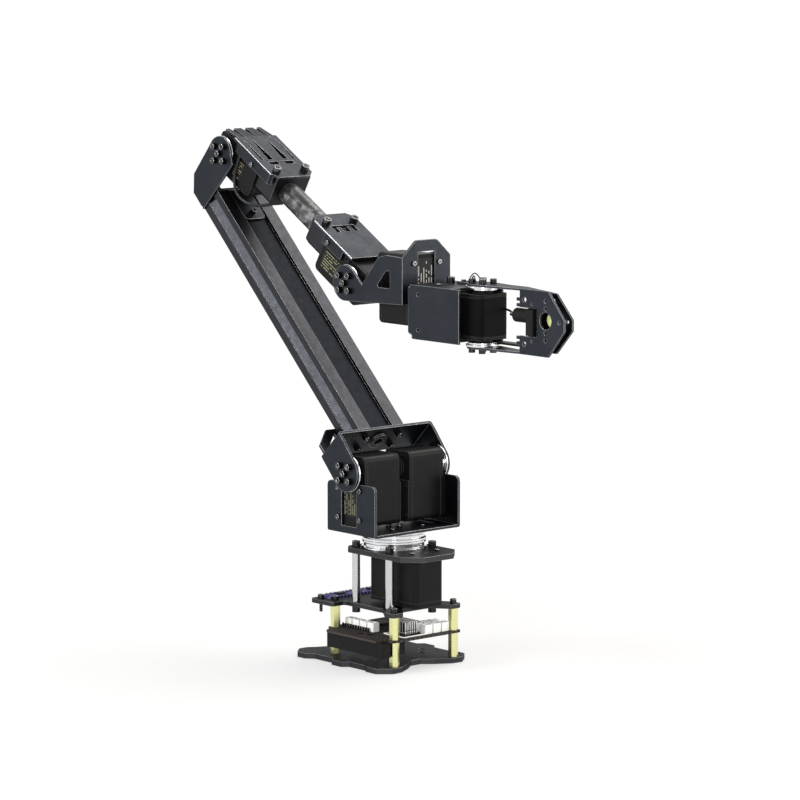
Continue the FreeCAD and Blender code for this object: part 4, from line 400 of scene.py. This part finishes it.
def printed_label(name, rows, letters, ink):
    """Dark label with rows of plain dashes: a row number and a letter number are cut from the label's own
    map, and a random value for each pair says whether that spot is inked."""
    finish = Finish(name)
    chart = finish.node("ShaderNodeUVMap", uv_map="label").outputs["UV"]
    parts = finish.node("ShaderNodeSeparateXYZ")
    finish.link(chart, parts.inputs["Vector"])
    along = finish.sum_of("MULTIPLY", parts.outputs["X"], letters)
    down = finish.sum_of("MULTIPLY", parts.outputs["Y"], rows)
    row = finish.sum_of("FLOOR", down)
    spot = finish.node("ShaderNodeCombineXYZ")
    finish.link(finish.sum_of("FLOOR", along), spot.inputs["X"])
    finish.link(row, spot.inputs["Y"])
    chance = finish.node("ShaderNodeTexWhiteNoise", noise_dimensions="2D")
    finish.link(spot.outputs["Vector"], chance.inputs["Vector"])
    reach = finish.node("ShaderNodeTexWhiteNoise", noise_dimensions="1D")
    finish.link(row, reach.inputs["W"])
    height = finish.sum_of("FRACT", down)
    inked = finish.sum_of("GREATER_THAN", chance.outputs["Value"], 0.28)
    for condition in (finish.sum_of("GREATER_THAN", height, 0.34),
                      finish.sum_of("LESS_THAN", height, 0.66),
                      finish.sum_of("GREATER_THAN", parts.outputs["X"], 0.08),
                      finish.sum_of("LESS_THAN", parts.outputs["X"],
                                    finish.spread(reach.outputs["Value"], 0.55, 0.94, 0.0, 1.0))):
        inked = finish.sum_of("MULTIPLY", inked, condition)
    finish.colour(finish.shades(inked, (0.0, (0.007, 0.007, 0.008)), (1.0, ink)))
    finish.roughness(finish.spread(finish.noise(scale=400.0), 0.40, 0.50))
    finish.fixed(gloss=0.15)
    return finish.material


ARM_FACING = np.array([1.0, 0.0, 1.0]) / np.sqrt(2.0)
ARM_SHIFT = 2.0 * MM
CHANNEL_FLOOR, CHANNEL_LIPS, CHANNEL_HALF_WIDTH = 11.0 * MM, 12.5 * MM, 13.6 * MM
# Painted shade in the profile's front channel.
profile_channel_shade = (ARM_FACING, shoulder @ ARM_FACING + ARM_SHIFT,
                   CHANNEL_FLOOR, CHANNEL_LIPS, CHANNEL_HALF_WIDTH)
# Painted highlight along the bends of the hood and cap roofs.
HOOD_BEND_RISE, HOOD_BEND_HALF_WIDTH = 22.7 * MM, 24.5 * MM
CAP_BEND_RISE, CAP_BEND_HALF_WIDTH = 21.5 * MM, 24.4 * MM
hood_bend_highlight = (fore_rise, elbow @ fore_rise, HOOD_BEND_RISE, HOOD_BEND_HALF_WIDTH)
cap_bend_highlight = (fore_rise, elbow @ fore_rise, CAP_BEND_RISE, CAP_BEND_HALF_WIDTH)
SHEET_DARK = (0.0215, 0.0245, 0.0300)
SHEET_LIGHT = (0.0275, 0.0310, 0.0375)
# Edge tones: the sheets' edges are worn paler and also carry a painted highlight; the bends' tone is a painted
# highlight too.
SHEET_WORN_AND_HIGHLIGHT = (0.34, 0.34, 0.35)
BEND_HIGHLIGHT_AND_WORN = (0.60, 0.60, 0.61)
SHEET_ROUGH = 0.42
SHEET_LOW_ANGLE = 0.80
SERVO_DARK = (0.0045, 0.0045, 0.005)
SERVO_LIGHT = (0.0065, 0.0065, 0.007)

finishes = {
    "black_sheet": anodised_sheet("black_sheet_finish", SHEET_DARK, SHEET_LIGHT, SHEET_WORN_AND_HIGHLIGHT,
                                  SHEET_ROUGH, SHEET_LOW_ANGLE),
    "black_plate": anodised_sheet("black_plate_finish", dark=(0.040, 0.041, 0.043),
                                  light=(0.048, 0.049, 0.051), edge_tone=(0.20, 0.20, 0.205),
                                  rough=0.45, low_angle=0.50),
    "servo_black": moulded_plastic("servo_case_finish", SERVO_DARK, SERVO_LIGHT, rough=0.42,
                                   gloss=0.10),
    "servo_cover_black": moulded_plastic("servo_cover_finish", SERVO_DARK, SERVO_LIGHT, rough=0.46,
                                         gloss=0.09),
    "chrome": turned_metal("chrome_finish", dark=(0.62, 0.63, 0.65), light=(0.76, 0.77, 0.78),
                           rough=0.12, stretch=(0.15, 0.15, 4.0)),
    "brass": turned_metal("brass_finish", dark=(0.70, 0.69, 0.335), light=(0.78, 0.775, 0.395),
                          rough=0.26, stretch=(3.0, 3.0, 0.4), marked=0.012),
    "steel": turned_metal("pillar_finish", dark=(0.52, 0.52, 0.53), light=(0.60, 0.60, 0.61),
                          rough=0.15, stretch=(0.3, 0.3, 2.0), marked=0.008),
    "black_screw": black_oxide("black_oxide_finish", tone=0.055),
    "board_dark": printed_board("control_board_finish", ground=(0.022, 0.018, 0.017),
                                track=(0.055, 0.047, 0.043), scale=90.0),
    "board_blue": printed_board("rear_board_finish", ground=(0.014, 0.011, 0.060),
                                track=(0.12, 0.12, 0.26), scale=60.0),
    "white_plastic": plain_moulding("white_socket_finish", dark=(0.86, 0.86, 0.84),
                                    light=(0.92, 0.92, 0.90), rough=0.45, gloss=0.4),
    "dark_fins": anodised_sheet("heat_sink_finish", dark=(0.05, 0.05, 0.05),
                                light=(0.08, 0.08, 0.08), edge_tone=(0.62, 0.62, 0.62),
                                rough=0.34, low_angle=0.6),
    "black_box": plain_moulding("supply_box_finish", dark=(0.004, 0.0035, 0.004),
                                light=(0.006, 0.0055, 0.006), rough=0.50, gloss=0.12),
    "carbon": forged_carbon("forged_carbon_finish"),
    "grey_block": anodised_sheet("clamp_finish", dark=(0.030, 0.031, 0.034),
                                 light=(0.040, 0.041, 0.045), edge_tone=(0.20, 0.20, 0.21),
                                 rough=0.40, low_angle=0.35),
    "cable": plain_moulding("cable_finish", dark=(0.005, 0.005, 0.006),
                            light=(0.010, 0.010, 0.011), rough=0.38, gloss=0.3),
    "yellow_pad": plain_moulding("yellow_pad_finish", dark=(0.86, 0.90, 0.34),
                                 light=(0.94, 0.97, 0.44), rough=0.5, gloss=0.3),
}
for subpart in frame["record"]["subparts"]:
    shown = frame["nodes"][subpart["node"]]
    shown.data.materials.clear()
    shown.data.materials.append(finishes[subpart["material_slot"]])
for cable in (elbow_loop, tip_lead):
    cable.data.materials.append(finishes["cable"])
own_finishes = {
    "elbow_hood": anodised_sheet("hood_finish", SHEET_DARK, SHEET_LIGHT, BEND_HIGHLIGHT_AND_WORN, SHEET_ROUGH,
                                 SHEET_LOW_ANGLE, bend=hood_bend_highlight),
    "wrist_cap": anodised_sheet("cap_finish", SHEET_DARK, SHEET_LIGHT, BEND_HIGHLIGHT_AND_WORN, SHEET_ROUGH,
                                SHEET_LOW_ANGLE, bend=cap_bend_highlight),
    "arm_extrusion": anodised_sheet("profile_finish", dark=(0.0338, 0.0350, 0.0402),
                                    light=(0.0368, 0.0380, 0.0435), edge_tone=(0.27, 0.27, 0.28),
                                    rough=0.38, low_angle=0.66, channel=profile_channel_shade),
    "roll_screws": turned_metal("bright_screw_finish", dark=(0.14, 0.14, 0.145),
                                light=(0.22, 0.22, 0.225), rough=0.28, stretch=(1.0, 1.0, 1.0)),
    # Painted highlight: a paler copy of the black oxide finish for the screws on the forearm.
    "forearm_screws": black_oxide("paler_oxide_highlight_finish", tone=0.15),
    # Painted shade: a darker, less glossy copy of the servo case finish for the gripper's servo.
    "gripper_servo_case": moulded_plastic("gripper_servo_shaded_finish", dark=(0.0035, 0.0035, 0.004),
                                          light=(0.005, 0.005, 0.0055), rough=0.42, gloss=0.03),
}
for node_name, own_finish in own_finishes.items():
    frame["nodes"][node_name].data.materials[0] = own_finish


# Surfaces of the small pieces

def rounded_block(squareness=0.10, around=24, along=9):
    """A unit block with soft edges: longitude and latitude of a ball, with every sine and cosine raised to
    a small power, which pushes the ball out towards a cube. The poles are single points."""
    def pressed(value):
        return np.sign(value) * np.abs(value) ** squareness

    turn = np.linspace(0.0, 2 * np.pi, around, endpoint=False)
    tilt = np.linspace(-np.pi / 2, np.pi / 2, along + 2)[1:-1, None]
    wide = pressed(np.cos(tilt))
    grid = np.stack([wide * pressed(np.cos(turn)), wide * pressed(np.sin(turn)),
                     pressed(np.sin(tilt)) * np.ones_like(turn)], axis=-1)
    points = np.vstack([grid.reshape(-1, 3), [(0, 0, -1), (0, 0, 1)]])
    return points, *capped_faces(along, around)


def capped_faces(rows, around):
    """Quads between neighbouring rings and fans of triangles from the two end points to the end rings."""
    ring = np.arange(rows * around).reshape(rows, around)
    after = np.roll(ring, -1, axis=1)
    quads = np.stack([ring[:-1], after[:-1], after[1:], ring[1:]], axis=-1).reshape(-1, 4)
    low, high = rows * around, rows * around + 1
    bottom = np.stack([np.full(around, low), after[0], ring[0]], axis=-1)
    top = np.stack([np.full(around, high), ring[-1], after[-1]], axis=-1)
    return quads, np.vstack([bottom, top])


def lay_piece(name, points, quads, fans, body, slot, finish, crease=0.6):
    """Puts a finished surface into the scene as a piece that rides on a body."""
    mesh = bpy.data.meshes.new(name)
    mesh.from_pydata(points.tolist(), [], quads.tolist() + fans.tolist())
    mesh.polygons.foreach_set("use_smooth", np.ones(len(mesh.polygons), bool))
    mesh.set_sharp_from_angle(angle=crease)
    mesh.materials.append(finish)
    piece = bpy.data.objects.new(name, mesh)
    bpy.context.collection.objects.link(piece)
    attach(piece, body)
    return piece


def lay_blocks(name, centres, halves, origin, axes, body, slot, finish):
    """Many rounded blocks as one piece: the unit block times each half size, plus each centre."""
    unit, quads, fans = rounded_block()
    centres = np.atleast_2d(np.asarray(centres, float))
    halves = np.broadcast_to(np.asarray(halves, float), centres.shape)
    points = (unit[None] * halves[:, None] + centres[:, None]).reshape(-1, 3)
    steps = np.arange(len(centres))[:, None, None] * len(unit)
    return lay_piece(name, placed(points, origin, axes), (quads + steps).reshape(-1, 4),
                     (fans + steps).reshape(-1, 3), body, slot, finish)


def lay_label(name, middle, along, down, half_long, half_high, body, finish):
    """A thin rounded plate on a servo's face, whose map runs from 0 to 1 along and down its rows."""
    axes = np.array([along, down, np.cross(along, down)])
    unit, quads, fans = rounded_block(squareness=0.06)
    points = middle + unit * np.array([half_long, half_high, LABEL_HALF_THICK]) * MM @ axes
    piece = lay_piece(name, points, quads, fans, body, "servo_cover_black", finish)
    chart = piece.data.uv_layers.new(name="label")
    corners = np.empty(len(piece.data.loops), int)
    piece.data.loops.foreach_get("vertex_index", corners)
    chart.data.foreach_set("uv", (unit[corners, :2] * 0.5 + 0.5).astype(np.float32).ravel())


def turned_rings(centre, radii, lanes, thick, chamfer, around=96):
    """Flat rings about a cross axis: an outline of radius and height with two broken corners, carried
    round the axis once for each lane."""
    inner, outer = radii
    turn = np.linspace(0.0, 2 * np.pi, around, endpoint=False)
    away = np.cos(turn)[:, None] * REACH + np.sin(turn)[:, None] * UP
    radius = np.array([inner, outer - chamfer, outer, outer, outer - chamfer, inner])
    height = np.array([0.0, 0.0, chamfer, thick - chamfer, thick, thick])
    heights = np.asarray(lanes)[:, None] + height
    points = radius[None, :, None, None] * away + heights[:, :, None, None] * ACROSS
    ring = np.arange(radius.size * around).reshape(radius.size, around)
    beside, after = np.roll(ring, -1, axis=0), np.roll(ring, -1, axis=1)
    quads = np.stack([ring, beside, np.roll(after, -1, axis=0), after], axis=-1).reshape(-1, 4)
    steps = np.arange(len(lanes))[:, None, None] * ring.size
    return centre + points.reshape(-1, 3) * MM, (quads + steps).reshape(-1, 4), np.empty((0, 3), int)


def bent_wire(starts, ends, heights, radius, rows=25, around=12):
    """Arched wires: each centre line runs straight from start to end and rises by a half sine wave, and a
    circle is carried along it, square to the line's slope. The ends close in single points."""
    share = np.linspace(0.0, 1.0, rows)
    turn = np.linspace(0.0, 2 * np.pi, around, endpoint=False)
    quads, fans = capped_faces(rows, around)
    lines, all_quads, all_fans = [], [], []
    for count, (start, end, height) in enumerate(zip(starts, ends, heights)):
        start, end = np.array(start), np.array(end)
        line = start + share[:, None] * (end - start) + height * np.sin(np.pi * share)[:, None] * UP
        slope = (end - start) + height * np.pi * np.cos(np.pi * share)[:, None] * UP
        slope = slope / np.linalg.norm(slope, axis=1, keepdims=True)
        side = np.cross(UP, end - start)
        side = side / np.linalg.norm(side)
        lift = np.cross(slope, side)
        rings = (line[:, None] + radius * np.cos(turn)[None, :, None] * side
                 + radius * np.sin(turn)[None, :, None] * lift[:, None])
        step = count * (rows * around + 2)
        lines.append(np.vstack([rings.reshape(-1, 3), line[:1], line[-1:]]))
        all_quads.append(quads + step)
        all_fans.append(fans + step)
    return np.vstack(lines), np.vstack(all_quads), np.vstack(all_fans)


# Bright rims of the horns, which show past the round ends of the cheeks

RIM_INNER = 14.6
RIM_THICK = 1.3
RIM_CHAMFER = 0.3
for joint_word, middle, outer, face, body in (("shoulder", shoulder, 17.3, 53.9, "upper_arm"),
                                              ("elbow", elbow, 16.9, 26.9, "upper_arm"),
                                              ("wrist", wrist, 16.9, 26.9, "wrist")):
    lay_piece(f"{joint_word}_horn_rims",
              *turned_rings(middle, (RIM_INNER, outer), (-face, face - RIM_THICK), RIM_THICK,
                            RIM_CHAMFER),
              body, "chrome", finishes["chrome"])


# Labels of the servos, dark with rows of plain dashes

LABEL_HALF_THICK = 0.1
LABEL_LIFT = LABEL_HALF_THICK + 0.02
SERVO_FACE = 22.5
SHOULDER_FACE = 49.5
SHOULDER_LABEL_RISE = -27.0
SHOULDER_LABEL_HALF = (14.0, 9.6)
FORE_LABEL_RISE = -2.0
FORE_LABEL_HALF_HIGH = 9.0
FORE_LABELS = (("elbow", 25.0, 7.0), ("wrist", 182.5, 13.5))
ROLL_LABEL_HEIGHT = 361.5 * MM
ROLL_LABEL_HALF = (15.5, 9.2)
WEB_THICK = 2.0
upright_print = printed_label("upright_label_finish", rows=7.0, letters=15.0, ink=(0.20, 0.195, 0.12))
roll_print = printed_label("roll_label_finish", rows=6.0, letters=17.0, ink=(0.48, 0.48, 0.43))
long_print = printed_label("long_label_finish", rows=7.0, letters=14.0, ink=(0.24, 0.24, 0.12))

for word, over in (("left", -1.0), ("right", 1.0)):
    shoulder_spot = np.array([0.0, over * (SHOULDER_FACE + LABEL_LIFT), SHOULDER_LABEL_RISE])
    lay_label(f"shoulder_label_{word}", shoulder + shoulder_spot * MM, UP, over * REACH,
              *SHOULDER_LABEL_HALF, "turret", upright_print)
    for joint_word, middle, half_long in FORE_LABELS:
        lay_label(f"{joint_word}_label_{word}",
                  placed((middle, over * (SERVO_FACE + LABEL_LIFT), FORE_LABEL_RISE), elbow, FOREARM),
                  fore_run, -over * fore_rise, half_long, FORE_LABEL_HALF_HIGH, "forearm", long_print)
yoke_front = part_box("wrist_yoke")[1][0]
lay_label("roll_label",
          np.array([yoke_front - (WEB_THICK - LABEL_LIFT) * MM, 0.0, ROLL_LABEL_HEIGHT]),
          UP, -ACROSS, *ROLL_LABEL_HALF, "wrist", roll_print)


# Parts on the control board and on the rear board

bare_tin = turned_metal("bare_tin_finish", dark=(0.55, 0.55, 0.55), light=(0.75, 0.75, 0.75),
                        rough=0.30, stretch=(1.0, 1.0, 1.0))
board_top = np.array([0.0, 0.0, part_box("control_board")[1][2]])
rear_low, rear_high = (np.array(corner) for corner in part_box("rear_board"))
rear_top = np.array([0.0, 0.0, rear_high[2]])

MODULE_LEFT, MODULE_RIGHT = 14.0, 41.5
MODULE_NEAR, MODULE_FAR = -24.6, 3.0
RIM_HALF = 0.5
module_middle = ((MODULE_LEFT + MODULE_RIGHT) / 2, (MODULE_NEAR + MODULE_FAR) / 2)
module_half = ((MODULE_RIGHT - MODULE_LEFT) / 2, (MODULE_FAR - MODULE_NEAR) / 2)
lay_blocks("module_rim",
           [(module_middle[0], MODULE_NEAR, RIM_HALF), (MODULE_LEFT, module_middle[1], RIM_HALF),
            (MODULE_RIGHT, module_middle[1], RIM_HALF)],
           [(module_half[0], RIM_HALF, RIM_HALF), (RIM_HALF, module_half[1], RIM_HALF),
            (RIM_HALF, module_half[1], RIM_HALF)],
           board_top, SQUARE, "base", "white_plastic", finishes["white_plastic"])

PIN_COUNT = 11
PIN_PITCH = 3.6
PIN_START = -38.5
PIN_LANE = -29.2
PIN_HALF = (0.75, 0.75, 1.8)
pin_run = np.arange(PIN_COUNT) * PIN_PITCH + PIN_START
lay_blocks("board_pins", [(place, PIN_LANE, PIN_HALF[2]) for place in pin_run], PIN_HALF,
           board_top, SQUARE, "base", "black_box", finishes["black_box"])

RIB_COUNT = 6
RIB_HALF = 0.55
RIB_HALF_PROUD = 0.35
RIB_HEIGHTS = (2.4, 8.6)
RIB_HALF_HEIGHTS = (1.5, 3.8)
sink_low, sink_high = (np.array(corner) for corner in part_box("board_heat_sink"))
ribs = np.linspace(sink_low[1] / MM + RIB_HALF, sink_high[1] / MM - RIB_HALF, RIB_COUNT)
sink_face = sink_high[0] / MM + RIB_HALF_PROUD
lay_blocks("sink_ribs", [(sink_face, lane, height) for lane in ribs for height in RIB_HEIGHTS],
           [(RIB_HALF_PROUD, RIB_HALF, half) for lane in ribs for half in RIB_HALF_HEIGHTS],
           board_top, SQUARE, "base", "steel", bare_tin)

BOARD_CHIPS = [(-24.0, 6.0, 0.9), (-6.0, 22.0, 0.9), (8.0, -36.0, 0.5), (-2.0, -40.0, 0.4)]
BOARD_CHIP_HALVES = [(7.0, 7.0, 0.9), (4.5, 6.0, 0.9), (2.4, 1.8, 0.5), (2.0, 1.4, 0.4)]
lay_blocks("board_chips", BOARD_CHIPS, BOARD_CHIP_HALVES,
           board_top, SQUARE, "base", "black_box", finishes["black_box"])

REAR_PIN_REACH = 30.0
REAR_PIN_COUNT = 13
REAR_PIN_SHIFT = -5.6
REAR_PIN_HALF = (0.9, 1.2, 0.9)
REAR_CHIPS = [(1.0, -18.0, 0.8), (0.5, 2.0, 0.8), (1.0, 20.0, 0.8)]
REAR_CHIP_HALVES = [(3.0, 4.0, 0.8), (3.4, 3.4, 0.8), (2.6, 5.0, 0.8)]
rear_middle = (rear_low[0] + rear_high[0]) / 2 / MM
rear_lanes = np.linspace(-REAR_PIN_REACH, REAR_PIN_REACH, REAR_PIN_COUNT)
lay_blocks("rear_pins",
           [(rear_middle + REAR_PIN_SHIFT, lane, REAR_PIN_HALF[2]) for lane in rear_lanes],
           REAR_PIN_HALF, rear_top, SQUARE, "base", "steel", bare_tin)
lay_blocks("rear_chips", [(rear_middle + shift, lane, height) for shift, lane, height in REAR_CHIPS],
           REAR_CHIP_HALVES, rear_top, SQUARE, "base", "black_box", finishes["black_box"])


# Bent wire clip on the gripper's upper horn

jaw_top = np.array([jaw[0], jaw[1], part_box("moving_jaw")[1][2]])
CLIP_RADIUS = 0.55 * MM
CLIP_HEIGHTS = (8.4 * MM, 6.2 * MM)
clip_starts = placed([(-8.0, -11.0, 0.3), (-10.6, -4.0, 0.3)], jaw_top, SQUARE)
clip_ends = placed([(-3.6, 2.2, 0.3), (1.6, -9.4, 0.3)], jaw_top, SQUARE)
lay_piece("wire_clip", *bent_wire(clip_starts, clip_ends, CLIP_HEIGHTS, CLIP_RADIUS),
          "moving_jaw_body", "black_screw", finishes["black_screw"])


# Stage: floor, white surround and soft lamps

def soft_sun(name, away, angle, strength, tone):
    """An even overcast light from one side of the sky."""
    data = bpy.data.lights.new(name, "SUN")
    data.energy = strength
    data.color = tone
    data.angle = angle
    lamp = bpy.data.objects.new(name, data)
    lamp.rotation_euler = Vector(-np.array(away)).to_track_quat("-Z", "Y").to_euler()
    bpy.context.collection.objects.link(lamp)


def soft_box(name, place, aim, size, power, tone):
    """A rectangular soft box aimed at a point."""
    data = bpy.data.lights.new(name, "AREA")
    data.color = tone
    data.shape = "RECTANGLE"
    data.size, data.size_y = size
    data.energy = power
    lamp = bpy.data.objects.new(name, data)
    lamp.location = place
    lamp.rotation_euler = Vector(np.array(aim) - np.array(place)).to_track_quat("-Z", "Y").to_euler()
    bpy.context.collection.objects.link(lamp)


SKY_AS_LIGHT = 0.8
FLOOR_AS_LIGHT = 0.4
NEAR_GLOW = 0.54
FAR_GLOW = 0.65
NEAR_REACH = 0.3
FAR_REACH = 1.5
FLOOR_HALF = 40.0
FLOOR_DROP = 0.4 * MM


def seen_or_mirrored(tree, as_light, as_ground):
    """One strength for what the camera sees, mirrored or through glass too, and another for light."""
    path = tree.nodes.new("ShaderNodeLightPath")
    seen = path.outputs["Is Camera Ray"]
    for kind in ("Is Glossy Ray", "Is Transmission Ray"):
        either = tree.nodes.new("ShaderNodeMath")
        either.operation = "MAXIMUM"
        tree.links.new(seen, either.inputs[0])
        tree.links.new(path.outputs[kind], either.inputs[1])
        seen = either.outputs["Value"]
    strength = tree.nodes.new("ShaderNodeMapRange")
    strength.inputs["To Min"].default_value = as_light
    if isinstance(as_ground, float):
        strength.inputs["To Max"].default_value = as_ground
    else:
        tree.links.new(as_ground, strength.inputs["To Max"])
    tree.links.new(seen, strength.inputs["Value"])
    return strength.outputs["Result"]


def white_surround():
    """A world that is white to the camera and in reflections, and dimmer as a light."""
    world = bpy.data.worlds.new("surround")
    bpy.context.scene.world = world
    world.use_nodes = True
    tree = world.node_tree
    ground = tree.nodes["Background"]
    tree.links.new(seen_or_mirrored(tree, SKY_AS_LIGHT, 1.0), ground.inputs["Strength"])
    ground.inputs["Color"].default_value = (1.0, 1.0, 1.0, 1.0)


def pale_floor():
    """A wide floor that takes the shadow and is white where nothing shades it. Its own glow is less near
    the object, where the lamps add to it, and grows with the distance."""
    half = FLOOR_HALF
    mesh = bpy.data.meshes.new("floor")
    mesh.from_pydata([(-half, -half, 0), (half, -half, 0), (half, half, 0), (-half, half, 0)], [],
                     [(0, 1, 2, 3)])
    floor = bpy.data.objects.new("floor", mesh)
    floor.location = (0.0, 0.0, -FLOOR_DROP)
    bpy.context.collection.objects.link(floor)
    finish = Finish("floor_finish")
    finish.colour(finish.shades(finish.noise(scale=3.0), (0.3, (0.27, 0.27, 0.27)),
                                (0.7, (0.28, 0.28, 0.28))))
    finish.fixed(rough=1.0, gloss=0.0)
    finish.shader.inputs["Emission Color"].default_value = (1.0, 1.0, 1.0, 1.0)
    reach = finish.node("ShaderNodeVectorMath", operation="LENGTH")
    finish.link(finish.place, reach.inputs[0])
    glow = finish.spread(reach.outputs["Value"], NEAR_GLOW, FAR_GLOW, NEAR_REACH, FAR_REACH)
    finish.link(seen_or_mirrored(finish.tree, FLOOR_AS_LIGHT, glow),
                finish.shader.inputs["Emission Strength"])
    mesh.materials.append(finish.material)


white_surround()
pale_floor()
WARM = (1.0, 0.96, 0.89)
EVEN = (1.0, 1.0, 1.0)
soft_sun("sky_light", away=(0.0, 0.55, 0.83), angle=np.radians(44.0), strength=2.2, tone=WARM)
soft_box("right_box", place=view_right * 1.9 + UP * 0.70, aim=(0.0, 0.0, 0.30), size=(1.1, 1.1),
         power=20.0, tone=WARM)
soft_box("left_box", place=np.array([-0.82, -2.02, 0.88]), aim=(-0.1, 0.0, 0.30), size=(0.9, 0.9),
         power=23.0, tone=EVEN)
soft_box("front_box", place=-view_level * 3.7 + UP * 0.75, aim=(0.0, 0.0, 0.25), size=(1.0, 1.4),
         power=40.0, tone=EVEN)
soft_box("top_box", place=np.array([-0.36, -1.08, 2.17]), aim=(0.0, 0.0, 0.30), size=(0.5, 0.5),
         power=11.0, tone=EVEN)

scene = bpy.context.scene
scene.view_settings.view_transform = "Standard"
